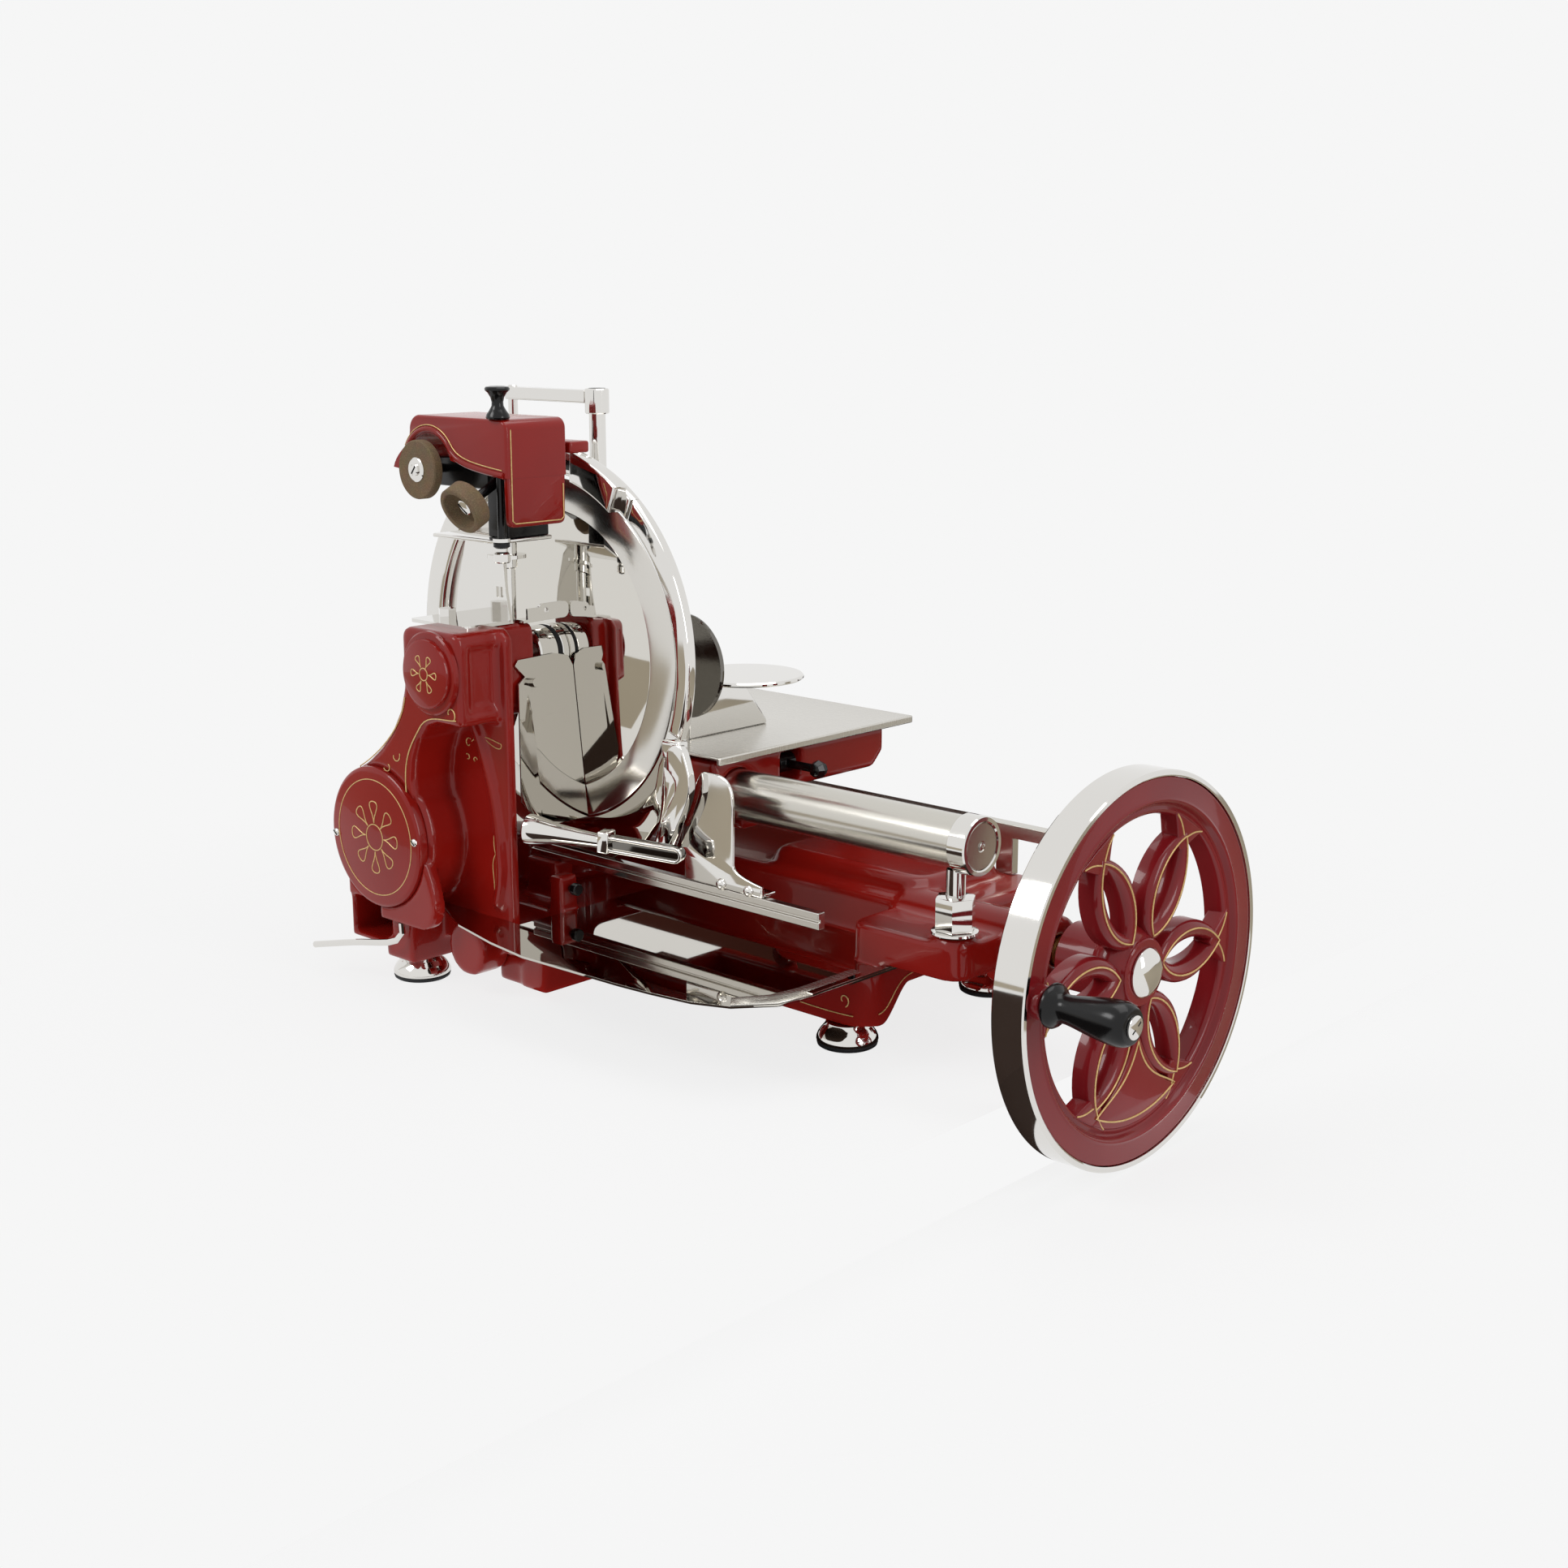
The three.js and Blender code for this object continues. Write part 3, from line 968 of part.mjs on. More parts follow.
function makeFeedKnob() {
  const shape = new THREE.Shape();
  const turns = feed.lobes * 4;
  const points = [];
  for (let i = 0; i < turns; i += 1) {
    const angle = i / turns * Math.PI * 2;
    const radius = feed.knobRadius - feed.lobeRadius / 2 * (1 - Math.cos(angle * feed.lobes));
    points.push(new THREE.Vector2(radius * Math.cos(angle), radius * Math.sin(angle)));
  }
  shape.setFromPoints(points);
  const knob = plate('y', shape, feed.knobFront, feed.knobFront + feed.knobDepth, overrun)
    .translate(feed.x, 0, feed.z);
  const bore = rod('y', [feed.x, 0, feed.z], feed.radius + gap, feed.knobFront - overrun,
    feed.knobFront + feed.knobDepth / 2 + gap, smallSides);
  return cut(knob, bore);
}

function makeThicknessLever() {
  const centre = [lever.pivotX, 0, lever.z];
  const hubRing = rod('y', centre, lever.hubRadius + overrun * 2, lever.y - lever.hubHalf, lever.y + lever.hubHalf);
  const arm = turned('x', [0, lever.y, lever.z], [
    [0, lever.pivotX + overrun], [lever.armRadius, lever.pivotX + overrun],
    [lever.armRadius, lever.ballX - lever.ballRadius / 2], [0, lever.ballX - lever.ballRadius / 2],
  ], smallSides);
  const ball = new THREE.SphereGeometry(lever.ballRadius, smallSides, smallSides / 2)
    .translate(lever.ballX, lever.y, lever.z);
  const bore = rod('y', centre, lever.hubRadius - gap, lever.slotFront, lever.slotBack, smallSides);
  return cut(join(hubRing, arm, ball), bore);
}

function makeRearRoller() {
  return ring('y', [roller.x, 0, trackTop + roller.radius + runningGap], roller.bore, roller.radius,
    roller.y - roller.half, roller.y + roller.half);
}

function makeRearTrack() {
  const bar0 = box(track.left, track.right, roller.y - track.half, roller.y + track.half,
    trackTop - track.height, trackTop);
  const seats = [track.left + track.seatInset, track.right - track.seatInset - track.seatLength].map((x) => box(
    x, x + track.seatLength, roller.y - track.half, roller.y + track.half / 2, base.bodyTop + gap,
    trackTop - track.height / 2));
  return join(bar0, ...seats);
}

function makePressPost() {
  return rod('z', [press.x, press.y, 0], press.postRadius, table.bottom + table.thickness, press.armTop - overrun);
}

function makePressArm() {
  const beam = plate('z', roundedRectangle(press.rodX - press.armHalf, press.x + press.bossRadius,
    press.y - press.armHalf, press.y + press.armHalf, press.armHalf - overrun), press.armBottom, press.armTop);
  const boss = rod('z', [press.x, press.y, 0], press.bossRadius, press.armBottom - press.armHalf, press.armTop);
  const thin = rod('z', [press.rodX, press.y, 0], press.rodRadius, press.footBottom, press.armTop, smallSides);
  const foot = rod('z', [press.rodX, press.y, 0], press.footRadius, press.footBottom,
    press.footBottom + press.footDepth);
  const bore = rod('z', [press.x, press.y, 0], press.postRadius + gap, press.footBottom, press.armTop + overrun);
  return cut(join(beam, boss, thin, foot), bore);
}

function makePusher() {
  const disc = rod('y', [pusher.x, 0, pusher.z], pusher.radius, pusher.y, pusher.y + pusher.thickness);
  const shelf = rod('z', [pusher.plateX, pusher.plateY, 0], pusher.plateRadius, pusher.plateTop - pusher.thickness,
    pusher.plateTop);
  const tableTop = table.bottom + table.thickness + gap;
  const web = plate('x', outlineOf([
    [pusher.y + pusher.thickness / 2, tableTop], [pusher.webBack, tableTop],
    [pusher.webBack, tableTop + pusher.thickness], [pusher.plateY, pusher.plateTop - pusher.thickness / 2],
    [pusher.y + pusher.thickness / 2, pusher.plateTop - pusher.thickness / 2],
  ]), pusher.x - pusher.webHalf, pusher.x + pusher.webHalf);
  return join(disc, shelf, web);
}

// Sharpener

function makeStand() {
  const foot = plate('z', roundedRectangle(stand.left, stand.right, stand.front, stand.back, stand.stemRadius),
    stand.bottom, stand.bottom + stand.thickness);
  const sheetShares = [[0, 0], [1, 0], [0.93, 0.35], [0.88, 0.9], [0.8, 1], [0.32, 1], [0.22, 0.9], [0.06, 0.35]];
  const width = stand.right - stand.left;
  const sheet = plate('y', outlineOf(scaled(sheetShares, stand.left, stand.bottom, width,
    stand.top - stand.bottom)), stand.back - stand.sheetWall, stand.back);
  const hole = box(stand.right - stand.hole * 2, stand.right - stand.hole, stand.front, stand.back + overrun,
    stand.holeZ, stand.holeZ + stand.hole);
  const boltHole = rod('z', [stand.boltX, stand.boltY, 0], stand.stemRadius, stand.bottom - overrun,
    stand.bottom + stand.thickness + overrun, smallSides);
  return cut(join(foot, sheet), hole, boltHole);
}

function makeStandBolt() {
  const top = stand.bottom + stand.thickness;
  const headPart = rod('z', [stand.boltX, stand.boltY, 0], stand.boltRadius, top, top + stand.boltHeight, 6);
  const stem = rod('z', [stand.boltX, stand.boltY, 0], stand.stemRadius - gap, stand.bottom + gap, top + overrun,
    smallSides);
  return join(headPart, stem);
}

function makeSharpenerBody() {
  const s = sharpener;
  const foot = box(s.bodyLeft, s.bodyRight, s.bodyFront, s.bodyBack, s.bodyBottom, s.bodyBottom + s.wall * 2);
  const block = box(s.bodyLeft + s.wall, s.bodyRight - s.wall * 2, s.front + s.wall * 4, s.bodyBack - s.wall,
    s.bodyBottom, s.top - s.wall * 2);
  const carrier = box(stand.sheetLeft, stand.sheetRight, stand.back - stand.sheetWall, stand.back,
    stand.top + gap, s.bodyBottom + s.wall);
  const spindle = rod('y', [s.stoneX, 0, s.stoneZ], s.spindle, s.stoneY - s.stoneDepth / 3, s.bodyFront + s.wall,
    smallSides);
  const pivot = rod('z', [stand.pivotX, stand.pivotY, 0], stand.pivotRadius, stand.bottom + gap,
    s.bodyBottom + s.wall);
  const cupReach = (s.bodyFront + s.wall - s.cupY + s.cupDepth) / Math.cos(s.cupTilt * Math.PI / 180);
  const cupSpindle = rod('y', [0, 0, 0], s.spindle, s.cupDepth / 2 + gap, cupReach, smallSides)
    .applyMatrix4(new THREE.Matrix4().makeRotationX(s.cupTilt * Math.PI / 180).setPosition(
      s.cupX, s.cupY - s.cupDepth, s.cupZ));
  return join(foot, block, carrier, spindle, pivot, cupSpindle);
}

function makeSharpenerCover() {
  const s = sharpener;
  const outer = new THREE.Shape();
  outer.moveTo(s.right, s.low);
  outer.lineTo(s.right, s.top - s.wall);
  outer.lineTo(s.right - s.wall, s.top);
  outer.lineTo(s.left + s.corner, s.top);
  outer.quadraticCurveTo(s.left, s.top, s.guardTipX + s.wall, s.guardTipZ + s.wall);
  outer.lineTo(s.guardTipX, s.guardTipZ);
  outer.lineTo(s.stoneX - s.archRadius, s.guardTipZ);
  outer.absarc(s.stoneX, s.stoneZ, s.archRadius, Math.PI * 8 / 9, 0, true);
  outer.closePath();
  const shell = plate('y', outer, s.front, s.back, softEdge);
  const side = box(s.right - s.wall, s.right, s.front + s.wall, s.back, s.sideLow, s.low + s.wall * 2);
  const room = box(s.bodyLeft + s.wall - gap, s.bodyRight - s.wall * 2 + gap, s.front + s.wall, s.back - s.wall,
    s.sideLow - overrun, s.top - s.wall * 2 + gap);
  const rodBore = rod('z', [s.knobX, s.knobY, 0], s.rodRadius + runningGap, s.sideLow - overrun, s.top + overrun,
    smallSides);
  const spindleHole = rod('y', [s.stoneX, 0, s.stoneZ], s.archRadius, s.front - overrun, s.front + s.wall + overrun);
  return cut(join(shell, side), room, rodBore, spindleHole);
}

function makeGrindingStone() {
  const s = sharpener;
  return ring('y', [s.stoneX, 0, s.stoneZ], s.spindle + gap, s.stoneRadius, s.stoneY - s.stoneDepth / 2,
    s.stoneY + s.stoneDepth / 2);
}

function makeHoningStone() {
  const s = sharpener;
  const depth = s.cupDepth;
  const cup = turned('y', [0, 0, 0], [
    [0, depth / 2], [s.cupRadius, depth / 2], [s.cupRadius, -depth / 2], [s.cupRadius * 2 / 3, -depth / 2],
    [s.cupRadius / 2, 0], [0, 0],
  ]);
  return cup.applyMatrix4(new THREE.Matrix4().makeRotationX(s.cupTilt * Math.PI / 180).setPosition(
    s.cupX, s.cupY - depth, s.cupZ));
}

function makeSharpenerKnob() {
  const s = sharpener;
  return turned('z', [s.knobX, s.knobY, 0], [
    [0, s.nutBottom], [s.rodRadius, s.nutBottom], [s.nutRadius, s.nutTop - s.wall], [s.nutRadius, s.nutTop],
    [s.rodRadius, s.nutTop + s.wall], [s.rodRadius, s.top + gap], [s.knobRadius, s.top + gap],
    [s.knobWaist, s.top + s.knobHeight / 2], [s.knobRadius, s.top + s.knobHeight - s.wall],
    [s.knobRadius - s.wall, s.top + s.knobHeight], [0, s.top + s.knobHeight],
  ]);
}

// Levers and the last bushes

function makeReleaseLever() {
  const path = new THREE.CatmullRomCurve3([
    new THREE.Vector3(release.x, release.y, release.top),
    new THREE.Vector3(release.x, release.y, release.bendZ + release.radius),
    new THREE.Vector3(release.x - release.radius * 2, release.y - release.radius, release.bendZ - release.radius),
    new THREE.Vector3((release.x + release.tipX) / 2, (release.y + release.tipY) / 2 - release.radius,
      (release.bendZ + release.tipZ) / 2),
    new THREE.Vector3(release.tipX, release.tipY, release.tipZ),
  ]);
  const section = new THREE.Shape();
  section.absarc(0, 0, release.radius, 0, Math.PI * 2, false);
  return join(new THREE.ExtrudeGeometry(section, {
    steps: 12, curveSegments: 4, bevelEnabled: false, extrudePath: path,
  }));
}

function makeSideKnob() {
  const start = base.sideBlockRight + gap;
  return turned('x', [0, sideKnob.y, sideKnob.z], [
    [0, start], [sideKnob.radius / 2, start], [sideKnob.radius, start + sideKnob.length / 2],
    [sideKnob.radius, start + sideKnob.length], [0, start + sideKnob.length],
  ], smallSides);
}

function makeBladeBush() {
  return ring('y', [blade.x, 0, blade.z], drive.shaftRadius + gap, drive.shaftRadius + shaftHousing.bushWall,
    bladeBush.front, bladeBush.back);
}

function makeShaftBush() {
  return ring('x', [0, drive.y, drive.z], drive.shaftRadius + gap, drive.shaftRadius + shaftHousing.bushWall,
    shaftHousing.right - shaftHousing.bushLength, shaftHousing.right + gap * 2);
}

for (const [name, [x, y]] of Object.entries(footPlaces)) add(name, makeFoot(x, y), 'chrome');
add('base_casting', makeBase(), 'enamel');
add('gear_case', makeGearCase(), 'enamel');
add('rear_cover', makeRearCover(), 'enamel');
add('upper_cover', makeUpperCover(), 'enamel');
add('big_cover', makeBigCover(), 'enamel');
add('blade_bush', makeBladeBush(), 'brass');
add('shaft_bush', makeShaftBush(), 'brass');
add('blade', makeBlade(), 'steel');
add('blade_hub', makeBladeHub(), 'chrome');
add('blade_shaft', makeBladeShaft(), 'steel');
add('blade_sprocket', makeSprocket(chain.smallTeeth, [blade.x, 0, blade.z]), 'steel');
add('lay_shaft', makeLayShaft(), 'steel');
add('lay_sprocket', makeSprocket(chain.bigTeeth, [drive.layX, 0, drive.layZ]), 'steel');
add('drive_chain', makeChain(), 'steel');
add('cross_shaft', makeCrossShaft(), 'steel');
add('cross_gear', toothedWheel(drive.bigTeeth, drive.module, [drive.layX, 0, drive.z],
  layShaft.pinionFront, layShaft.pinionBack, Math.PI / 2), 'steel');
add('bevel_pinion', bevelWheel(drive.bevelPinionTeeth, drive.bevelTeeth, 'y', apex, -1, 0), 'steel');
add('flywheel_shaft', makeFlywheelShaft(), 'steel');
add('bevel_gear', bevelWheel(drive.bevelTeeth, drive.bevelPinionTeeth, 'x', apex, 1,
  Math.PI + Math.PI / drive.bevelTeeth), 'steel');
add('flywheel', makeFlywheel(), 'enamel');
add('flywheel_rim', makeFlywheelRim(), 'chrome');
add('hub_cap', makeHubCap(), 'chrome');
add('crank_bolt', makeCrankBolt(), 'chrome');
add('crank_grip', makeCrankGrip(), 'plastic');
add('guide_tube', makeGuideTube(), 'chrome');
add('tube_collar', makeTubeCollar(), 'chrome');
add('guide_post', makeGuidePost(), 'chrome');
add('post_nut', makePostNut(), 'chrome');
add('slide_rail', makeSlideRail(), 'steel');
add('gauge_plate', makeGaugePlate(), 'chrome');
add('guard_ring', makeGuardRing(), 'chrome');
add('blade_cover', makeBladeCover(), 'chrome');
add('guard_bar', makeGuardBar(), 'chrome');
add('guard_arm', makeGuardArm(), 'chrome');
add('deflector', makeDeflector(), 'steel');
add('deflector_bracket', makeBracket(), 'chrome');
add('receiving_tray', makeTray(), 'steel');
add('carriage', makeCarriage(), 'enamel');
add('meat_table', makeMeatTable(), 'steel');
add('feed_screw', makeFeedScrew(), 'steel');
add('feed_knob', makeFeedKnob(), 'plastic');
add('thickness_lever', makeThicknessLever(), 'plastic');
add('rear_roller', makeRearRoller(), 'steel');
add('rear_track', makeRearTrack(), 'steel');
add('press_post', makePressPost(), 'chrome');
add('press_arm', makePressArm(), 'chrome');
add('pusher', makePusher(), 'chrome');
add('sharpener_stand', makeStand(), 'chrome');
add('stand_bolt', makeStandBolt(), 'chrome');
add('sharpener_body', makeSharpenerBody(), 'plastic');
add('sharpener_cover', makeSharpenerCover(), 'enamel');
add('grinding_stone', makeGrindingStone(), 'stone');
add('honing_stone', makeHoningStone(), 'stone');
add('sharpener_knob', makeSharpenerKnob(), 'plastic');
add('release_lever', makeReleaseLever(), 'chrome');
add('side_knob', makeSideKnob(), 'plastic');

export default group;
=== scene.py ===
# Hand crank meat slicer: finishes, fine pieces, studio and camera round the fixed frame
import json
import math

import bmesh
import bpy
from mathutils import Matrix, Vector


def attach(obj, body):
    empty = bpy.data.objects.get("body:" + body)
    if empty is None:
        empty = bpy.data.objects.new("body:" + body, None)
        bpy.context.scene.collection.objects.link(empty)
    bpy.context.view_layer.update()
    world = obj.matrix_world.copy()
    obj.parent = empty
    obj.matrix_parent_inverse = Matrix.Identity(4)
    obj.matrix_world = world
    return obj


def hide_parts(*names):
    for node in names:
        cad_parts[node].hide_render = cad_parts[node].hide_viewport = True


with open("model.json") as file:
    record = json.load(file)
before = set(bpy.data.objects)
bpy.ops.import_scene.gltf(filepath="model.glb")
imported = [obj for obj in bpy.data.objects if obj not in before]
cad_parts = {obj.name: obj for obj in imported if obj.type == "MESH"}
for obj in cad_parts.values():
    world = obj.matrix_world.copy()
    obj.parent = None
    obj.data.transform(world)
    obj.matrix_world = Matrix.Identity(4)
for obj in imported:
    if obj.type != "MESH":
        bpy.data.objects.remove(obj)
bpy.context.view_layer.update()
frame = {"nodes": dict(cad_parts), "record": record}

MM = 0.001
weld = 0.01 * MM
fine_turn = 128
round_turn = 72
small_turn = 40
edge_angle = math.radians(32)


# Colours are written as sRGB hex and used as linear light
def linear(text):
    channels = [int(text[i:i + 2], 16) / 255 for i in (0, 2, 4)]
    return [c / 12.92 if c <= 0.04045 else ((c + 0.055) / 1.055) ** 2.4 for c in channels] + [1.0]


# One node with its settings, its typed inputs and its links
def add_node(tree, kind, settings=None, inputs=None, links=None):
    made = tree.nodes.new(kind)
    for name, value in (settings or {}).items():
        setattr(made, name, value)
    for name, value in (inputs or {}).items():
        made.inputs[name].default_value = value
    for name, source in (links or {}).items():
        tree.links.new(source, made.inputs[name])
    return made


# Empty node tree of a material or of the world
def cleared(owner):
    owner.use_nodes = True
    owner.node_tree.nodes.clear()
    return owner.node_tree


def new_material(name, inputs):
    material = bpy.data.materials.new(name)
    tree = cleared(material)
    shader = add_node(tree, "ShaderNodeBsdfPrincipled", inputs=inputs)
    add_node(tree, "ShaderNodeOutputMaterial", links={"Surface": shader.outputs["BSDF"]})
    place = add_node(tree, "ShaderNodeTexCoord")
    return material, tree, shader, place.outputs["Object"]


# Noise with clouds of about this many millimetres
def add_noise(tree, place, length, detail):
    return add_node(tree, "ShaderNodeTexNoise", inputs={"Scale": 1 / (length * MM), "Detail": detail},
        links={"Vector": place})


def add_tint(tree, factor, first, second):
    tint = add_node(tree, "ShaderNodeMix", {"data_type": "RGBA"}, links={"Factor": factor})
    tint.inputs[6].default_value = linear(first)
    tint.inputs[7].default_value = linear(second)
    return tint.outputs[2]


def vary_roughness(tree, shader, value, low, high):
    rough = add_node(tree, "ShaderNodeMapRange", inputs={"To Min": low, "To Max": high},
        links={"Value": value})
    tree.links.new(rough.outputs["Result"], shader.inputs["Roughness"])


# Small relief, its depth in millimetres
def add_bump(tree, shader, height, strength, depth):
    bump = add_node(tree, "ShaderNodeBump", inputs={"Strength": strength, "Distance": depth * MM},
        links={"Height": height})
    tree.links.new(bump.outputs["Normal"], shader.inputs["Normal"])
    return bump.outputs["Normal"]


# Stoving enamel on cast iron: oxblood under a hard gloss, deeper where the coat ran thick
def make_enamel(name, light, deep):
    material, tree, shader, place = new_material(name, {
        "Roughness": 0.22, "IOR": 1.52, "Specular IOR Level": 0.16, "Coat Weight": 0.36,
        "Coat Roughness": 0.02, "Coat IOR": 1.5})
    clouds = add_noise(tree, place, 90, 2.0)
    tree.links.new(add_tint(tree, clouds.outputs["Fac"], deep, light), shader.inputs["Base Color"])
    waves = add_noise(tree, place, 14, 1.0)
    tree.links.new(add_bump(tree, shader, waves.outputs["Fac"], 0.05, 1), shader.inputs["Coat Normal"])
    return material


# Polished or plated metal: a mirror with a faint haze that varies from the buffing wheel
def make_chrome(name, colour, low, high):
    material, tree, shader, place = new_material(name, {"Metallic": 1.0, "Base Color": linear(colour)})
    vary_roughness(tree, shader, add_noise(tree, place, 30, 3.0).outputs["Fac"], low, high)
    return material


# Rolled stainless sheet or ground bar: fine lines along one direction, about a millimetre apart
def make_brushed(name, colour, stretch, low, high, strength):
    material, tree, shader, place = new_material(name, {"Metallic": 1.0, "Base Color": linear(colour)})
    along = add_node(tree, "ShaderNodeMapping", links={"Vector": place})
    along.inputs["Scale"].default_value = stretch
    grain = add_noise(tree, along.outputs["Vector"], 1 / MM, 4.0).outputs["Fac"]
    vary_roughness(tree, shader, grain, low, high)
    add_bump(tree, shader, grain, strength, 0.1)
    return material


# Moulded plastic or rubber: near black, with a slight moulding grain
def make_plastic(name, colour, roughness):
    material, tree, shader, place = new_material(name, {
        "Base Color": linear(colour), "Roughness": roughness, "IOR": 1.49, "Specular IOR Level": 0.34})
    add_bump(tree, shader, add_noise(tree, place, 1.2, 2.0).outputs["Fac"], 0.06, 0.2)
    return material


# Bonded abrasive: brown grit of just under a millimetre, dull and pitted
def make_stone(name):
    material, tree, shader, place = new_material(name, {"Roughness": 0.85, "IOR": 1.5})
    grit = add_node(tree, "ShaderNodeTexVoronoi", inputs={"Scale": 1 / (0.9 * MM)}, links={"Vector": place})
    clouds = add_noise(tree, place, 8, 3.0)
    speck = add_tint(tree, grit.outputs["Distance"], "5d4a35", "8a7355")
    stain = add_node(tree, "ShaderNodeMix", {"data_type": "RGBA", "blend_type": "MULTIPLY"},
        inputs={"Factor": 0.35}, links={6: speck, 7: clouds.outputs["Color"]})
    tree.links.new(stain.outputs[2], shader.inputs["Base Color"])
    add_bump(tree, shader, grit.outputs["Distance"], 0.5, 0.3)
    return material


# Gold size line painted by hand: warm, half metallic, its thickness a little uneven
def make_gold(name):
    material, tree, shader, place = new_material(name, {"Metallic": 0.35, "Roughness": 0.38, "IOR": 1.5})
    brush = add_noise(tree, place, 3, 2.0)
    tree.links.new(add_tint(tree, brush.outputs["Fac"], "b58a48", "f0d395"), shader.inputs["Base Color"])
    return material


enamel = make_enamel("stoving_enamel_oxblood", "991a12", "740f0b")
wheel_enamel = make_enamel("stoving_enamel_wheel", "8a1e22", "6a1016")
chrome = make_chrome("chrome_plate_buffed", "e2e0dc", 0.03, 0.09)
satin_chrome = make_chrome("chrome_plate_satin", "d6d3cd", 0.12, 0.22)
mirror_steel = make_chrome("mirror_polished_steel", "c9c5bd", 0.012, 0.03)
blade_steel = make_chrome("ground_blade_steel", "d8d5ce", 0.02, 0.05)
# Chrome with its colour darkened to grey: painted shade and dark reflections, for chrome in the blade's shade
shade_darkened_chrome = make_chrome("chrome_in_the_blades_shade", "77746f", 0.05, 0.12)
table_steel = make_brushed("brushed_stainless_sheet", "d2cfc8", (40, 1200, 40), 0.2, 0.32, 0.1)
bar_steel = make_brushed("ground_steel_bar", "cfccc4", (30, 900, 900), 0.14, 0.26, 0.08)
plastic = make_plastic("black_handle_plastic", "0a0a0b", 0.2)
rubber = make_plastic("rubber_sole", "17171a", 0.62)
stone = make_stone("bonded_abrasive")
gold = make_gold("gold_size_line")
brass = make_chrome("bearing_brass", "b08d4a", 0.22, 0.34)
# Near-black paint for screw slots: the painted shade of the groove
shade_painted_gap = make_plastic("shadow_groove_paint", "0c0a0a", 0.7)

body_of = {node: body for body, nodes in frame["record"]["behaviour"]["bodies"].items() for node in nodes}
slot_of = {part["node"]: part["material_slot"] for part in frame["record"]["subparts"]}
finish_of_slot = {"enamel": enamel, "chrome": chrome, "steel": bar_steel, "plastic": plastic,
    "stone": stone, "brass": brass}


# A finished mesh becomes a piece: smooth faces with crisp edges, its finish and its body
def make_piece(name, shape, finish, body, node=None):
    mesh = bpy.data.meshes.new(name)
    shape.to_mesh(mesh)
    shape.free()
    mesh.materials.append(finish)
    mesh.polygons.foreach_set("use_smooth", [True] * len(mesh.polygons))
    mesh.set_sharp_from_angle(angle=edge_angle)
    piece = bpy.data.objects.new(name, mesh)
    bpy.context.scene.collection.objects.link(piece)
    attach(piece, body)
    if node:
        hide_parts(node)
    return piece


# Piece that stands for a CAD node and keeps that node's body
def stand_in(name, shape, finish, node):
    return make_piece(name, shape, finish, body_of[node], node)


def turn_for(axis):
    if axis == "X":
        return Matrix.Rotation(math.pi / 2, 4, "Y")
    if axis == "Y":
        return Matrix.Rotation(-math.pi / 2, 4, "X")
    return Matrix.Identity(4)


# Profile of [radius, place along the axis] in millimetres, spun about an axis through a centre
def spun(profile, axis, centre, steps, closed=False):
    shape = bmesh.new()
    points = [shape.verts.new((radius * MM, 0, along * MM)) for radius, along in profile]
    edges = [shape.edges.new(pair) for pair in zip(points, points[1:])]
    if closed:
        edges.append(shape.edges.new((points[-1], points[0])))
    bmesh.ops.spin(shape, geom=points + edges, cent=(0, 0, 0), axis=(0, 0, 1), angle=math.tau, steps=steps,
        use_merge=True)
    bmesh.ops.remove_doubles(shape, verts=shape.verts, dist=weld)
    bmesh.ops.recalc_face_normals(shape, faces=shape.faces)
    place = Matrix.Translation(Vector(centre) * MM) @ turn_for(axis)
    bmesh.ops.transform(shape, matrix=place, verts=shape.verts)
    return shape


def arc_points(u, v, radius, start, end, count):
    angles = [start + (end - start) * i / count for i in range(count + 1)]
    return [(u + radius * math.cos(a), v + radius * math.sin(a)) for a in angles]


# Bezier stretch between two points of an outline
def bend_points(first, pull_first, pull_last, last, count):
    points = []
    for i in range(1, count + 1):
        t = i / count
        weights = ((1 - t) ** 3, 3 * t * (1 - t) ** 2, 3 * t * t * (1 - t), t ** 3)
        parts = (first, pull_first, pull_last, last)
        points.append(tuple(sum(w * p[k] for w, p in zip(weights, parts)) for k in range(2)))
    return points


# Point at a level along an axis, from its two places across that axis
def spot_on(axis, level, u, v):
    return Vector({"X": (level, u, v), "Y": (u, level, v), "Z": (u, v, level)}[axis])


def rounded(shape, edges, rim, segments):
    bmesh.ops.bevel(shape, geom=edges, offset=rim * MM, segments=segments, profile=0.5, affect="EDGES",
        material=-1, clamp_overlap=True)


def closed_loop(shape, points):
    return [shape.edges.new(pair) for pair in zip(points, points[1:] + points[:1])]


# Outline in millimetres raised along an axis, both rims rounded
def raised(outline, axis, low, high, rim=0.0, segments=3):
    shape = bmesh.new()
    face = shape.faces.new([shape.verts.new(spot_on(axis, low, u, v) * MM) for u, v in outline])
    lift = bmesh.ops.extrude_face_region(shape, geom=[face])
    moved = [item for item in lift["geom"] if isinstance(item, bmesh.types.BMVert)]
    ahead = spot_on(axis, 1, 0, 0)
    bmesh.ops.translate(shape, verts=moved, vec=ahead * (high - low) * MM)
    bmesh.ops.recalc_face_normals(shape, faces=shape.faces)
    if rim:
        caps = [f for f in shape.faces if abs(f.normal.dot(ahead)) > 0.9]
        rounded(shape, list({e for f in caps for e in f.edges}), rim, segments)
    return shape


# Ring outline minus a hole: both loops bridged into a band with rounded rims
def banded(outer, inner, axis, low, high, rim, segments):
    shape = bmesh.new()
    rings = []
    for outline, level in ((outer, low), (outer, high), (inner, high), (inner, low)):
        points = [shape.verts.new(spot_on(axis, level, u, v) * MM) for u, v in outline]
        rings.append(closed_loop(shape, points))
    for first, second in zip(rings, rings[1:] + rings[:1]):
        bmesh.ops.bridge_loops(shape, edges=first + second)
    bmesh.ops.recalc_face_normals(shape, faces=shape.faces)
    rounded(shape, [e for ring in rings for e in ring], rim, segments)
    return shape


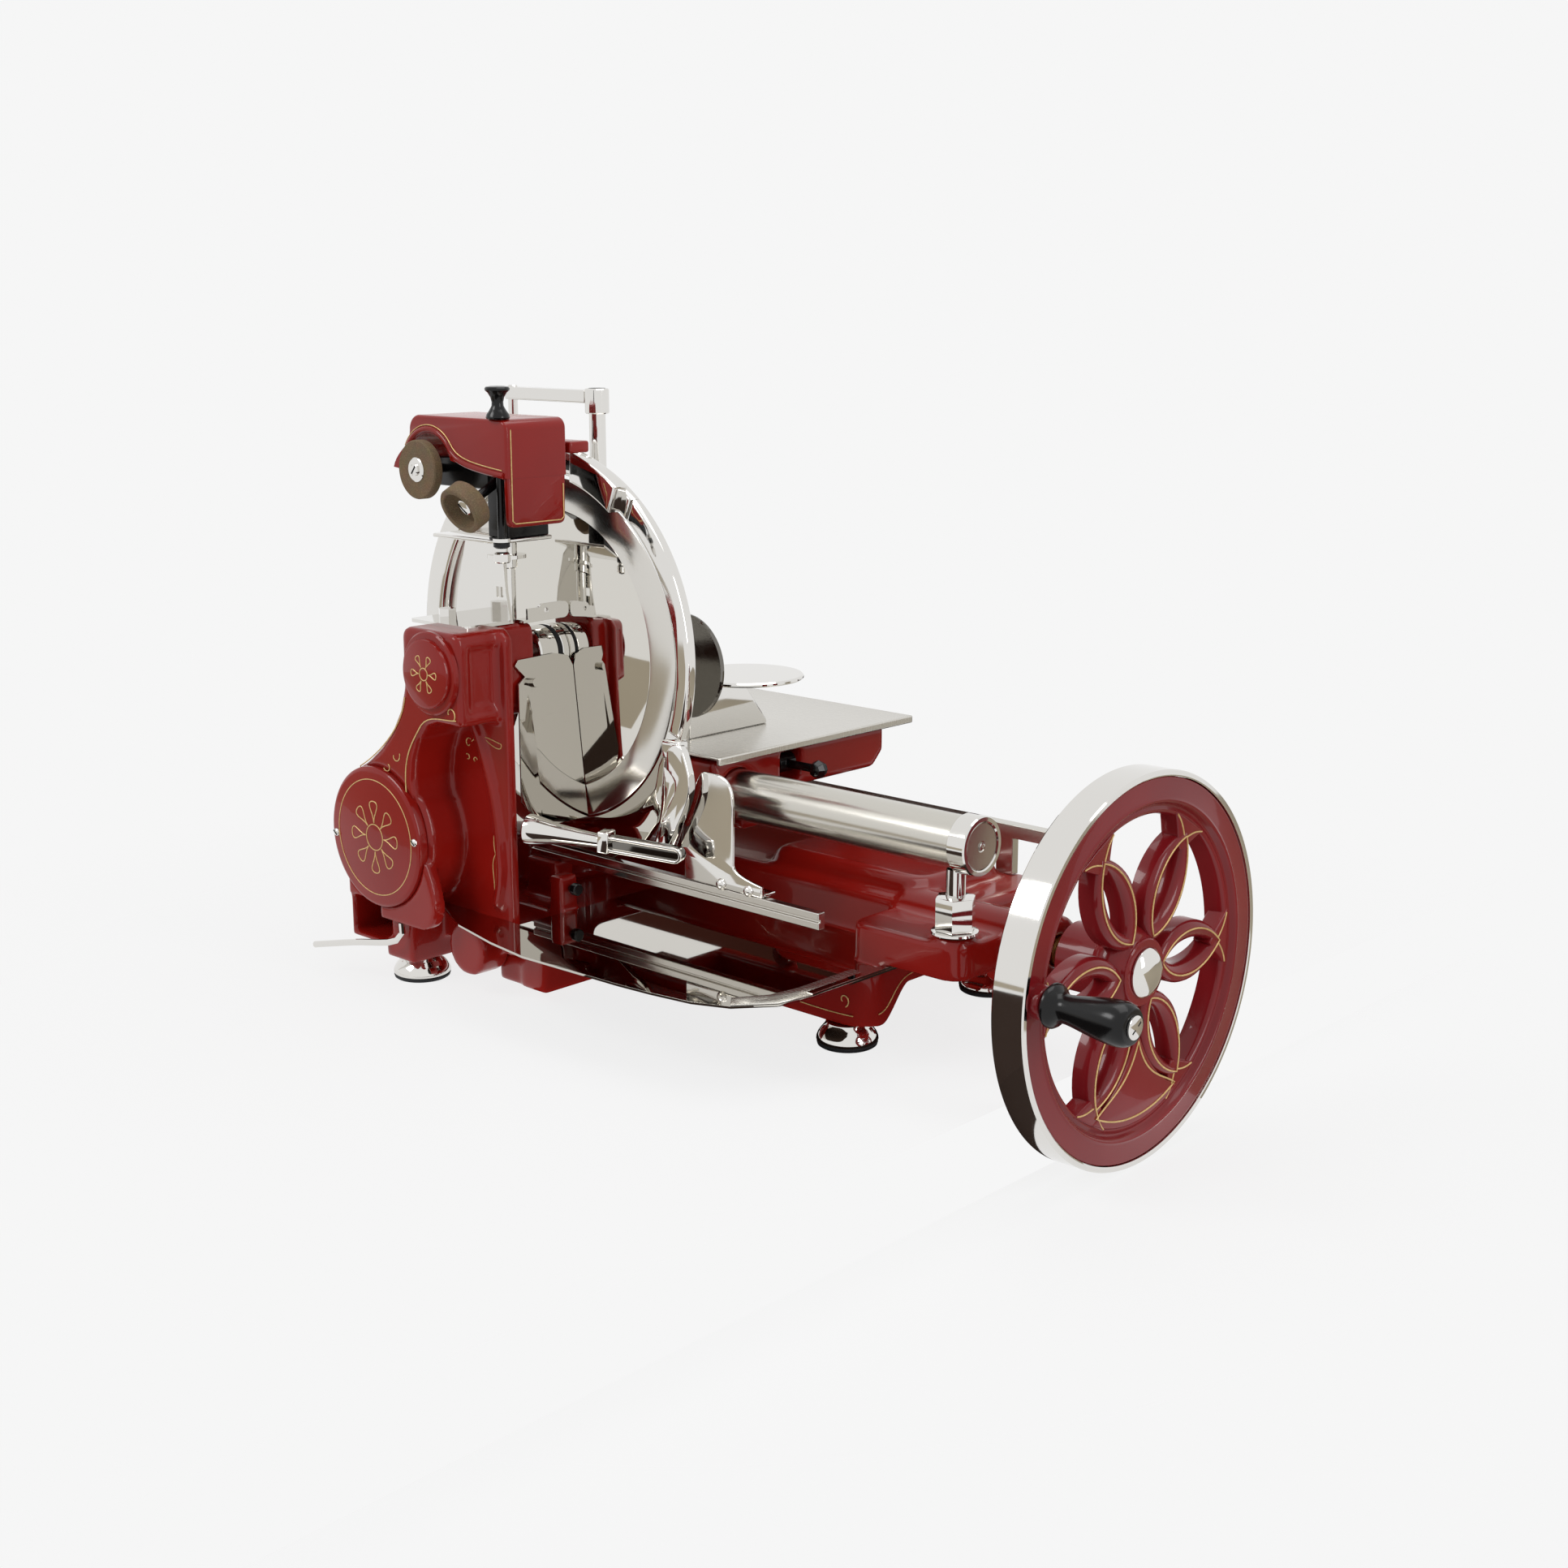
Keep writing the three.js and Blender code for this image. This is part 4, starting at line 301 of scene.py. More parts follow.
def block(low, high, rim=0.0, segments=3):
    shape = bmesh.new()
    size = Vector(high) - Vector(low)
    middle = (Vector(high) + Vector(low)) / 2
    bmesh.ops.create_cube(shape, size=1)
    bmesh.ops.scale(shape, vec=size * MM, verts=shape.verts)
    bmesh.ops.translate(shape, vec=middle * MM, verts=shape.verts)
    if rim:
        rounded(shape, shape.edges[:], rim, segments)
    return shape


def merged(*shapes):
    whole = shapes[0]
    for other in shapes[1:]:
        mesh = bpy.data.meshes.new("part")
        other.to_mesh(mesh)
        other.free()
        whole.from_mesh(mesh)
        bpy.data.meshes.remove(mesh)
    return whole


# Round bar swept along points in millimetres, with closed ends
def swept(points, radius, sides, closed=False):
    shape = bmesh.new()
    spots = [Vector(p) * MM for p in points]
    count = len(spots)
    loops = []
    side = None
    for i, spot in enumerate(spots):
        before = spots[i - 1] if closed or i else spots[i]
        after = spots[(i + 1) % count] if closed or i < count - 1 else spots[i]
        ahead = (after - before).normalized()
        if side is None:
            side = ahead.orthogonal().normalized()
        side = (side - ahead * side.dot(ahead)).normalized()
        third = ahead.cross(side)
        ring = bmesh.ops.create_circle(shape, segments=sides, radius=radius * MM)["verts"]
        place = Matrix((side, third, ahead)).transposed().to_4x4()
        bmesh.ops.transform(shape, matrix=Matrix.Translation(spot) @ place, verts=ring)
        loops.append(list({e for v in ring for e in v.link_edges}))
    pairs = list(zip(loops, loops[1:]))
    if closed:
        pairs.append((loops[-1], loops[0]))
    for first, second in pairs:
        bmesh.ops.bridge_loops(shape, edges=first + second)
    if not closed:
        for loop in (loops[0], loops[-1]):
            bmesh.ops.contextual_create(shape, geom=loop)
    bmesh.ops.recalc_face_normals(shape, faces=shape.faces)
    return shape


# A node's own mesh, its triangles joined to flat faces and every corner rounded like a fettled edge
def fettled(node, finish, rim):
    shape = bmesh.new()
    shape.from_mesh(frame["nodes"][node].data)
    bmesh.ops.remove_doubles(shape, verts=shape.verts, dist=weld)
    bmesh.ops.dissolve_limit(shape, angle_limit=math.radians(1.5), verts=shape.verts, edges=shape.edges)
    piece = stand_in(node + "_finished", shape, finish, node)
    round_off = piece.modifiers.new("fettled edges", "BEVEL")
    round_off.width = rim * MM
    round_off.segments = 3
    round_off.limit_method = "ANGLE"
    round_off.angle_limit = math.radians(28)
    round_off.harden_normals = True


# The pusher's chrome in this table is darkened: painted shade
finish_of_node = {"receiving_tray": mirror_steel, "deflector": mirror_steel, "blade": blade_steel,
    "meat_table": table_steel, "gauge_plate": chrome, "slide_rail": satin_chrome, "sharpener_stand": chrome,
    "pusher": shade_darkened_chrome}
for node, item in frame["nodes"].items():
    item.data.materials.clear()
    item.data.materials.append(finish_of_node.get(node, finish_of_slot[slot_of[node]]))
    item.data.polygons.foreach_set("use_smooth", [False] * len(item.data.polygons))

# Sizes and places in millimetres that several pieces share
blade_x, blade_z, blade_front, blade_back = 78.0, 299.0, 99.0, 104.0
guard_x, guard_z, guard_inner, guard_outer, guard_front, guard_rear = 73.0, 301.0, 156.0, 176.4, 98.0, 110.0
drive_y, drive_z, lay_x, lay_z = 213.0, 93.0, -9.0, 136.0
tube_y, tube_z = 150.0, 186.0
upper_x, upper_z, cover_face, upper_face = 76, 294, -40, -44
press_x, press_y, rod_x = 70, 165, -46
crank_y, crank_z = 74, 104
stone_x, stone_z = 38, 462
knob_x, knob_y = 126, 4
cup_place = Matrix.Translation(Vector((112, -22, 436)) * MM) @ Matrix.Rotation(math.radians(28), 4, "X")
foot_spots = {
    "foot_front_left": (0, 0), "foot_front_right": (405, 127), "foot_back_right": (405, 318),
    "foot_back_left": (0, 318)}


# Straight slot in a screw's head, turned about the screw's own axis: a thin near-black strip, the groove's
# painted shade
def make_slot(name, low, high, centre, angle, axis, body):
    slot = block(low, high)
    bmesh.ops.rotate(slot, verts=slot.verts, cent=Vector(centre) * MM, matrix=Matrix.Rotation(angle, 3, axis))
    make_piece(name, slot, shade_painted_gap, body)


def make_feet():
    for name, (x, y) in foot_spots.items():
        bell = spun([(0, 4), (25.2, 4), (26, 5.4), (25.8, 7.4), (24.6, 10.4), (22.4, 13.6), (20, 16.4),
            (18.6, 18.4), (18, 20.2), (0, 20.2)], "Z", (x, y, 0), round_turn)
        stand_in(name + "_bell", bell, chrome, name)
        sole = spun([(0, 0), (23.5, 0), (25, 1), (25.6, 3), (25, 4.2), (0, 4.2)], "Z", (x, y, 0), round_turn)
        make_piece(name + "_sole", sole, rubber, "frame")


def make_blade():
    disc = spun([(11, blade_front), (124.8, blade_front), (125.3, blade_front + 0.3),
        (125.3, blade_back - 2.2), (46, blade_back - 2.2), (39, blade_back), (11, blade_back)], "Y",
        (blade_x, 0, blade_z), 180, closed=True)
    stand_in("blade_ground", disc, blade_steel, "blade")
    bevel = spun([(125.4, blade_front + 0.1), (151.6, blade_front + 2.7), (152.5, blade_front + 3.3),
        (152.4, blade_back - 0.9), (151.4, blade_back - 1.2), (125.4, blade_back - 2.2)], "Y",
        (blade_x, 0, blade_z), 180, closed=True)
    make_piece("blade_bevel", bevel, satin_chrome, "blade")


def make_blade_hub():
    hub = spun([(8.3, 66.4), (21.6, 66), (23, 67.2), (23, 85), (22.4, 86), (20.5, 86.4), (20.5, 91),
        (22.4, 91.4), (23, 92), (23, 97.8), (22, 98.7), (8.3, 98.7)], "Y", (blade_x, 0, blade_z),
        round_turn, closed=True)
    stand_in("blade_hub_turned", hub, chrome, "blade_hub")
    seal = spun([(20.6, 86.5), (22.6, 86.7), (23.1, 88.7), (22.6, 90.7), (20.6, 90.9)], "Y",
        (blade_x, 0, blade_z), round_turn, closed=True)
    make_piece("blade_hub_seal", seal, rubber, "blade")
    end = spun([(0, 64), (6.5, 64), (7.6, 65), (8, 66.6), (8, 104.3), (13.2, 104.3), (14, 105.2), (14, 112),
        (13, 113.2), (8, 113.4), (8, 115.6), (7, 116.3), (0, 116.3)], "Y", (blade_x, 0, blade_z), small_turn)
    front = spun([(0, -10), (6, -10), (8, -8), (8, 64), (0, 64)], "Y", (blade_x, 0, blade_z), small_turn)
    stand_in("blade_shaft_turned", merged(end, front), bar_steel, "blade_shaft")


# Band between the blade's rim and the guard's own slightly shifted circle
def guard_band(start, end, low, high, extra, rim):
    count = max(6, int(abs(end - start) / 2))
    outer = arc_points(guard_x, guard_z, guard_outer + extra, math.radians(start), math.radians(end), count)
    inner = arc_points(blade_x, blade_z, guard_inner, math.radians(end), math.radians(start), count)
    return raised(outer + inner, "Y", low, high, rim, 4)


def make_guard():
    band = guard_band(51, 231, guard_front, guard_rear, 0, 3.2)
    cap = guard_band(55, 75, guard_front - 12, guard_front + 4, 4, 2.2)
    stand_in("guard_ring_polished", merged(band, cap), chrome, "guard_ring")
    edge = arc_points(blade_x, blade_z, 154.6, math.radians(334), math.radians(229), 70)
    low = [(-24, 118.4), (150, 118.4), (172, 131)] + bend_points((172, 131), (190, 134), (196, 150),
        (205, 158), 10)
    side = bend_points((205, 158), (214, 172), (213, 200), (219, 231), 8)
    apron = raised(edge + low + side[:-1], "Y", 101.6, 108.6, 0.8, 2)
    make_piece("guard_apron_polished", apron, mirror_steel, "frame")
    cover = guard_band(-21, 50.85, guard_front, guard_rear, 0, 3.2)
    stand_in("blade_cover_polished", cover, chrome, "blade_cover")


def make_tube():
    tube = spun([(17, 20), (21.4, 20), (22, 20.6), (22, 505.6), (21.6, 506), (17, 506)], "X",
        (0, tube_y, tube_z), fine_turn, closed=True)
    stand_in("guide_tube_ground", tube, bar_steel, "guide_tube")
    collar = spun([(0, 484), (16.7, 484), (16.7, 506.3), (23.6, 506.3), (24.5, 507.2), (24.5, 522.6),
        (23.6, 524), (20.4, 524), (19.4, 523), (19.4, 521.6), (0, 521.6)], "X", (0, tube_y, tube_z),
        fine_turn)
    stand_in("tube_collar_turned", collar, chrome, "tube_collar")
    disc = spun([(0, 521.4), (19, 521.4), (19.2, 522.2), (18.6, 522.8), (4.6, 522.8), (3.8, 522.2),
        (0, 522.2)], "X", (0, tube_y, tube_z), fine_turn)
    make_piece("tube_end_disc", disc, bar_steel, "frame")
    screw = raised(arc_points(tube_y, tube_z, 3.2, 0, math.tau * 5 / 6, 5), "X", 522.3, 523.4, 0.3, 2)
    make_piece("tube_end_screw", screw, chrome, "frame")


def make_post():
    x, y = 498, tube_y
    rod = spun([(0, 110), (19, 110), (19.6, 111), (19, 112.6), (16, 113), (8, 113), (8, 163.7), (0, 163.7)],
        "Z", (x, y, 0), round_turn)
    stand_in("guide_post_turned", rod, chrome, "guide_post")
    corners = [(x + 17 * math.cos(math.tau * i / 6), y + 17 * math.sin(math.tau * i / 6)) for i in range(6)]
    nut = raised(corners, "Z", 113, 141, 1.0, 2)
    stand_in("post_nut_milled", nut, chrome, "post_nut")


def make_covers():
    big = spun([(0, cover_face), (60, cover_face), (62, cover_face + 0.4), (63.6, cover_face + 1.8),
        (64, cover_face + 3.4), (64, -31), (0, -31)], "Y", (lay_x, 0, lay_z), fine_turn)
    stand_in("big_cover_enamelled", big, enamel, "big_cover")
    top = spun([(0, upper_face), (27.4, upper_face), (29.4, -43.2), (30, -41.6), (30, -39.6), (34.6, -39),
        (36, -37.8), (36, -35), (18, -35), (18, -30), (0, -30)], "Y", (upper_x, 0, upper_z), fine_turn)
    stand_in("upper_cover_enamelled", top, enamel, "upper_cover")


# Round headed screws, their heads towards -Y
def make_cover_screws():
    face, radius = cover_face + 0.2, 3.6
    for name, x, z in (("cover_screw_left", -66, 131), ("cover_screw_right", 48, 141)):
        head = spun([(0, face - 2.2), (radius * 0.5, face - 2), (radius * 0.85, face - 1.3),
            (radius, face - 0.4), (radius, face + 0.6), (0, face + 0.6)], "Y", (x, 0, z), small_turn)
        make_piece(name, head, chrome, "frame")
        reach = radius * 0.8
        make_slot(name + "_slot", (x - reach, face - 2.35, z - 0.5), (x + reach, face - 1.5, z + 0.5),
            (x, face, z), 0.7, "Y", "frame")


def make_press():
    post = spun([(0, 225), (12, 225), (12, 228), (7.5, 229), (7.5, 522), (0, 522)], "Z",
        (press_x, press_y, 0), round_turn)
    stand_in("press_post_ground", post, chrome, "press_post")
    beam = raised(arc_points(rod_x, press_y, 7.5, math.pi / 2, math.pi * 3 / 2, 12)
        + [(62, 156.5), (62, 173.5)], "Z", 512, 523.4, 1.4, 3)
    boss = spun([(7.9, 503), (10, 503), (11, 504), (11, 524), (10, 525.2), (7.9, 525.4)], "Z",
        (press_x, press_y, 0), round_turn, closed=True)
    thin = spun([(0, 303), (4.5, 303), (4.5, 524), (3.6, 525), (0, 525)], "Z", (rod_x, press_y, 0),
        small_turn)
    disc = spun([(0, 300), (25, 300), (26, 301), (25, 302.4), (8, 305), (4.5, 306.5), (0, 306.5)], "Z",
        (rod_x, press_y, 0), round_turn)
    stand_in("press_arm_polished", merged(beam, boss, thin, disc), chrome, "press_arm")


# A shape made along +X from the origin, laid along the line between two points
def laid(shape, start, end):
    ahead = Vector(end) - Vector(start)
    place = Matrix.Translation(Vector(start) * MM) @ ahead.to_track_quat("X", "Z").to_matrix().to_4x4()
    bmesh.ops.transform(shape, matrix=place, verts=shape.verts)
    return shape


# Bar under the blade: a trumpet shaped root, a clamp block and a round ended link with a raised lip
def make_guard_bar():
    start, end = (122, 27, 154), (262, 79, 145)
    root = spun([(0, 0), (12.6, 0), (13.4, 1.2), (13.4, 6), (12, 14), (10, 24), (8.8, 32), (7.4, 50),
        (6.2, 72), (0, 72)], "X", (0, 0, 0), fine_turn)
    clamp = block((71, -8, -8.5), (81.5, 8, 10.5), 1.6)
    loops = []
    for radius in (7, 4.2):
        loops.append(arc_points(143, 0, radius, -math.pi / 2, math.pi / 2, 16)
            + arc_points(84, 0, radius, math.pi / 2, math.pi * 3 / 2, 16))
    link = raised(loops[0], "Y", -3.4, 5, 1.2, 3)
    lip = banded(loops[0], loops[1], "Y", -6.2, -2.8, 0.9, 3)
    stand_in("guard_bar_polished", laid(merged(root, clamp, lip), start, end), chrome, "guard_bar")
    # The link's chrome is darkened: painted shade under the blade
    make_piece("guard_bar_link", laid(link, start, end), shade_darkened_chrome, "frame")


# Arm that carries the guard's front end down to the bar, with a low step along its inner side
def make_guard_arm():
    outer = [(237, 230)] + bend_points((237, 230), (243, 241), (252, 240), (256, 233), 6)
    outer += bend_points((256, 233), (263, 218), (267, 206), (262, 192), 10)
    outer += bend_points((262, 192), (257, 178), (244, 160), (236, 144), 10)
    outer += [(227, 142)] + bend_points((227, 142), (220, 158), (234, 178), (245, 194), 8)
    outer += bend_points((245, 194), (249, 204), (246, 209), (236, 215), 8)
    arm = raised(outer, "Y", 84, 92, 1.2, 3)
    inner = [(231, 216)] + bend_points((231, 216), (244, 212), (250, 206), (247, 196), 8)
    inner += bend_points((247, 196), (238, 180), (226, 162), (226, 145), 8) + [(217, 147)]
    inner += bend_points((217, 147), (226, 165), (232, 180), (231, 200), 8)
    step = raised(inner, "Y", 86.4, 95, 1.0, 2)
    boss = block((230, 84.5, 224), (251, 97.5, 240), 2.4, 4)
    stand_in("guard_arm_polished", merged(arm, step, boss), chrome, "guard_arm")


def make_gauge_plate():
    outline = [(337, 118.5), (337, 128)] + bend_points((337, 128), (318, 131), (304, 134), (303, 140), 8)
    outline += [(303.5, 190)] + bend_points((303.5, 190), (303.5, 206), (298, 216), (282, 216), 12)
    outline += [(270, 216)] + bend_points((270, 216), (262, 214), (258, 200), (238, 150), 10)
    outline += bend_points((238, 150), (234, 144), (234, 142), (238, 141), 5) + [(246, 139), (246, 118.5)]
    plate = raised(outline, "Y", 95.6, 99, 1.1, 3)
    ledge = block((246, 96, 118.4), (337, 113, 121.3), 1.0)
    stand_in("gauge_plate_polished", merged(plate, ledge), chrome, "gauge_plate")
    for name, x in (("gauge_screw_left", 290), ("gauge_screw_right", 322)):
        dome = spun([(0, 91.8), (2.4, 92.2), (4.2, 93.4), (5, 95), (5, 96.2), (0, 96.2)], "Y", (x, 0, 122),
            small_turn)
        make_piece(name, dome, chrome, "frame")


def make_pusher():
    disc = spun([(0, 148), (44.6, 148), (46, 149.2), (46, 151), (45, 152), (0, 152)], "Y", (195, 0, 291),
        fine_turn)
    # The disc's chrome is darkened: painted shade and dark reflections
    stand_in("pusher_disc_polished", disc, shade_darkened_chrome, "pusher")
    plate = spun([(0, 273), (50.6, 273), (52, 274.2), (52, 275.8), (50.6, 277), (0, 277)], "Z", (206, 214, 0),
        fine_turn)
    web = raised([(151, 225.3), (250, 225.3), (250, 229), (214, 274), (151, 274)], "X", 192.2, 197.8, 1.2)
    make_piece("pusher_plate_polished", merged(plate, web), chrome, "table")


# Flat lip at the tray's free end, brushed where the sheet is turned
def make_tray_lip():
    lip = raised([(413.8, -21), (437.5, 7.5), (443.6, 40.7), (443.6, 110), (424, 110), (424, 46), (419, 18),
        (402, -8)], "Z", 72.05, 73.4, 0.4, 2)
    make_piece("receiving_tray_lip", lip, table_steel, "frame")


make_feet()
make_tray_lip()
make_blade()
make_blade_hub()
make_guard()
make_tube()
make_post()
make_covers()
make_cover_screws()
make_press()
make_guard_bar()
make_guard_arm()
make_gauge_plate()
make_pusher()


# The crank wheel, drawn in its own plane: u runs along the machine's depth and v up, both from the axle
rib_front, web_back = 634.0, 616.0
petal_turns = [30, 90, 150, 210, 270, 330]
line_radius = 0.75


# Leaf on the line u = 0 from tip to end, about as wide as twice the half width
def leaf_outline(tip, end, half):
    reach = end - tip
    side = [(0, tip)] + bend_points((0, tip), (half * 1.33, tip + reach * 0.22),
        (half * 1.33, end - reach * 0.28), (0, end), 18)
    return side + [(-u, v) for u, v in reversed(side[1:-1])]


def turned_outline(points, degrees):
    turn = math.radians(degrees)
    return [(drive_y + u * math.cos(turn) - v * math.sin(turn),
        drive_z + u * math.sin(turn) + v * math.cos(turn)) for u, v in points]


# One petal: a band between two leaf outlines with a rounded crest, like a casting from a carved pattern
def petal_band(degrees):
    shape = bmesh.new()
    steps = ((0.0, web_back), (0.02, rib_front - 5), (0.1, rib_front - 2.2), (0.24, rib_front - 0.6),
        (0.41, rib_front), (0.58, rib_front - 0.5), (0.76, rib_front - 2), (0.9, rib_front - 4.4),
        (1.0, rib_front - 9), (1.0, web_back))
    loops = []
    for share, x in steps:
        flat = turned_outline(leaf_outline(22 + 18 * share, 119 - 14 * share, 25.5 - 17 * share), degrees)
        loops.append(closed_loop(shape, [shape.verts.new((x * MM, y * MM, z * MM)) for y, z in flat]))
    for first, second in zip(loops, loops[1:] + loops[:1]):
        bmesh.ops.bridge_loops(shape, edges=first + second)
    bmesh.ops.recalc_face_normals(shape, faces=shape.faces)
    return shape


# Curved triangle at the bottom of the wheel, its lower side following the ring
def weight_outline(inset):
    apex, corner, low = 47 + inset * 1.6, 62 - inset, 126.5 - inset
    spread = math.asin(corner / (low + 1))
    floor = [(low * math.sin(a), -low * math.cos(a)) for a in [spread - spread * i / 12 for i in range(25)]]
    right = bend_points((0, -apex), (corner * 0.22, -apex - 34), (corner * 0.62, -low + 26), floor[0], 14)
    left = [(-u, v) for u, v in reversed(right[:-1])]
    return [(drive_y + u, drive_z + v) for u, v in [(0, -apex)] + right + floor[1:] + left]


def make_wheel():
    axle = (0, drive_y, drive_z)
    ring = spun([(154.6, 612.4), (154.6, 635.6), (153.8, 636.4), (152.6, 636.6), (138.6, 636.2),
        (137.6, 636.5), (136.4, 637), (135.2, 636.8), (134.2, 636), (133.2, 633.4), (132, 631.6),
        (130.6, 631), (129.4, 631.4), (128, 632.2), (126.4, 631.8), (125, 630.4), (124.2, 627.6),
        (123.4, 618), (124.4, 612.6), (126.2, 612)], "X", axle, 180, closed=True)
    boss = spun([(0, 570), (27, 570), (28, 571), (28, 604), (34, 612), (36, 616), (36, 622), (33, 628),
        (29, 632), (27.4, 634), (27, 636), (26, 636.9), (21, 637), (0, 637)], "X", axle, fine_turn)
    petals = [petal_band(turn) for turn in petal_turns]
    weight = raised(weight_outline(0), "X", web_back, rib_front - 0.6, 2.4, 4)
    lift = spun([(0, 617), (20, 617), (16.5, 622), (14.5, 628), (13.5, 634), (13, 643), (12, 644),
        (0, 644)], "X", (0, crank_y, crank_z), round_turn)
    stand_in("flywheel_cast", merged(ring, boss, *petals, weight, lift), wheel_enamel, "flywheel")
    rim = spun([(155, 608.6), (155.6, 608), (158.8, 608), (160, 609.4), (160, 636.4), (159, 637.8),
        (156, 638), (155, 637.4)], "X", axle, 180, closed=True)
    stand_in("flywheel_rim_turned", rim, chrome, "flywheel_rim")
    cap = spun([(0, 637.3), (19.6, 637.3), (20, 637.8), (20, 639), (19.2, 640.2), (16.5, 642.6), (12, 644.8),
        (6.5, 646), (0, 646.3)], "X", axle, round_turn)
    stand_in("hub_cap_domed", cap, chrome, "hub_cap")


# Short webs that carry the petals into the ring, drawn like the flared ends of leaves
def make_wheel_webs():
    right = bend_points((0, 101), (10, 108), (13, 117), (25, 126.5), 10)
    flat = [(0, 101)] + right + [(-u, v) for u, v in reversed(right)]
    webs = [raised(turned_outline(flat, turn), "X", web_back, rib_front - 1.2, 2.0, 3)
        for turn in petal_turns]
    make_piece("flywheel_webs", merged(*webs), wheel_enamel, "flywheel")


def make_wheel_lines():
    lines = []
    for turn in petal_turns:
        flat = turned_outline(leaf_outline(29.5, 113.5, 18.5), turn)
        lines.append(swept([spot_on("X", rib_front + 0.05, y, z) for y, z in flat],
            line_radius, 8, closed=True))
    for turn in petal_turns:
        for hand in (-1, 1):
            flare = [(hand * 0.6, 112)] + bend_points((hand * 0.6, 112), (hand * 6, 116), (hand * 9, 121),
                (hand * 21, 124.6), 8)
            flat = turned_outline(flare, turn)
            lines.append(swept([spot_on("X", rib_front - 1.15, y, z) for y, z in flat], 0.7, 8))
    inset = [spot_on("X", rib_front - 0.55, y, z) for y, z in weight_outline(6.5)]
    lines.append(swept(inset, line_radius, 8, closed=True))
    make_piece("flywheel_lines", merged(*lines), gold, "flywheel")


def make_crank_grip():
    centre = (0, crank_y, crank_z)
    handle = spun([(4.3, 646), (12.6, 646), (15.4, 647), (17, 649), (17, 651), (15.6, 653.4), (12.4, 656),
        (11, 659.4), (11, 663), (11.8, 669), (13.4, 678), (15.2, 689), (16.6, 699), (17, 706), (16.6, 711),
        (15.2, 715.6), (13.4, 717.8), (12.2, 718.2), (4.3, 718.2)], "X", centre, round_turn, closed=True)
    stand_in("crank_grip_turned", handle, plastic, "crank_grip")
    bolt = spun([(0, 612.2), (4, 612.2), (4, 718.4), (8.6, 718.4), (9, 719), (9, 720.2), (7.6, 721.1),
        (0, 721.3)], "X", centre, small_turn)
    stand_in("crank_bolt_turned", bolt, chrome, "crank_bolt")
    make_slot("crank_bolt_slot", (720.4, crank_y - 6.2, crank_z - 0.7),
        (721.25, crank_y + 6.2, crank_z + 0.7), (721, crank_y, crank_z), 0.6, "X", "flywheel")


make_wheel()
make_wheel_webs()
make_wheel_lines()
make_crank_grip()


# A casting's own mesh poured again: fine even facets, then every corner and hollow softened
def cast_copy(node, grain, passes, reshape=None):
    rough = bpy.data.objects.new("pattern", frame["nodes"][node].data.copy())
    bpy.context.collection.objects.link(rough)
    even = rough.modifiers.new("even facets", "REMESH")
    even.mode = "VOXEL"
    even.voxel_size = grain * MM
    poured = bpy.data.meshes.new_from_object(rough.evaluated_get(bpy.context.evaluated_depsgraph_get()))
    shape = bmesh.new()
    shape.from_mesh(poured)
    bpy.data.meshes.remove(poured)
    bpy.data.objects.remove(rough)
    for _ in range(passes):
        bmesh.ops.smooth_vert(shape, verts=shape.verts, factor=0.5, use_axis_x=True, use_axis_y=True,
            use_axis_z=True)
    if reshape:
        for vert in shape.verts:
            vert.co.z = reshape(*(vert.co / MM)) * MM
    stand_in(node + "_cast", shape, enamel, node)


def eased(value):
    share = min(1.0, max(0.0, value))
    return share * share * (3 - 2 * share)


# The base's right side is arched up between its two feet, and so leaves them standing on shoulders
def arched_side(x, y, z):
    spring = 70
    if z > spring:
        return z
    share = eased((y - 134) / 34) * eased((292 - y) / 34) * eased((x - 300) / 60)
    return spring - (spring - z) * (1 - 0.62 * share)


cast_copy("gear_case", 2.1, 5)
cast_copy("base_casting", 2.8, 6, arched_side)
cast_copy("carriage", 2.4, 4)


# Pressed cover of the sharpener: every upper corner rolled round, a fender over the stone, a skirt at the end
def make_sharpener_cover():
    low, top, nose, right = 459, 507, 11, 140
    outline = [(right, low)] + arc_points(right - 9, top - 9, 9, 0, math.pi / 2, 10)
    outline += arc_points(nose + 13, top - 13, 13, math.pi / 2, math.pi, 10) + [(nose - 0.5, 484)]
    outline += bend_points((nose - 0.5, 484), (4, 478), (-8, 472), (-12, 461), 8) + [(-3, 460), (5, 465)]
    outline += arc_points(stone_x, stone_z, 30, math.radians(168), math.radians(16), 28)
    shape = raised(outline, "Y", 0, 66)
    rolled = []
    for edge in shape.edges:
        one, two = (vert.co / MM for vert in edge.verts)
        middle = (one + two) / 2
        cap = abs(one.y - two.y) < 0.01
        arch = math.hypot(middle.x - stone_x, middle.z - stone_z) < 30.6
        if cap and not arch and middle.z > 466 + (110 - middle.x) * 0.1 and middle.x > nose - 1:
            rolled.append(edge)
    rounded(shape, rolled, 7, 8)
    skirt = [(1.4, 470), (2.2, 426)] + bend_points((2.2, 426), (2.4, 420), (4, 418.4), (9, 418.3), 6)
    skirt += [(57, 418.3)] + bend_points((57, 418.3), (62, 418.4), (63.6, 420), (63.8, 426), 6)
    skirt.append((64.6, 470))
    end = raised(skirt, "X", 133, 139.8, 2.2, 4)
    line = arc_points(stone_x, stone_z, 33.5, math.radians(180), math.radians(34), 24)
    line += bend_points(line[-1], (72, 470), (88, 466), (136, 461.2), 14)
    lip = swept([Vector((u, 0.4, v)) for u, v in line], 2.9, 12)
    stand_in("sharpener_cover_pressed", merged(shape, end, lip), enamel, "sharpener_cover")


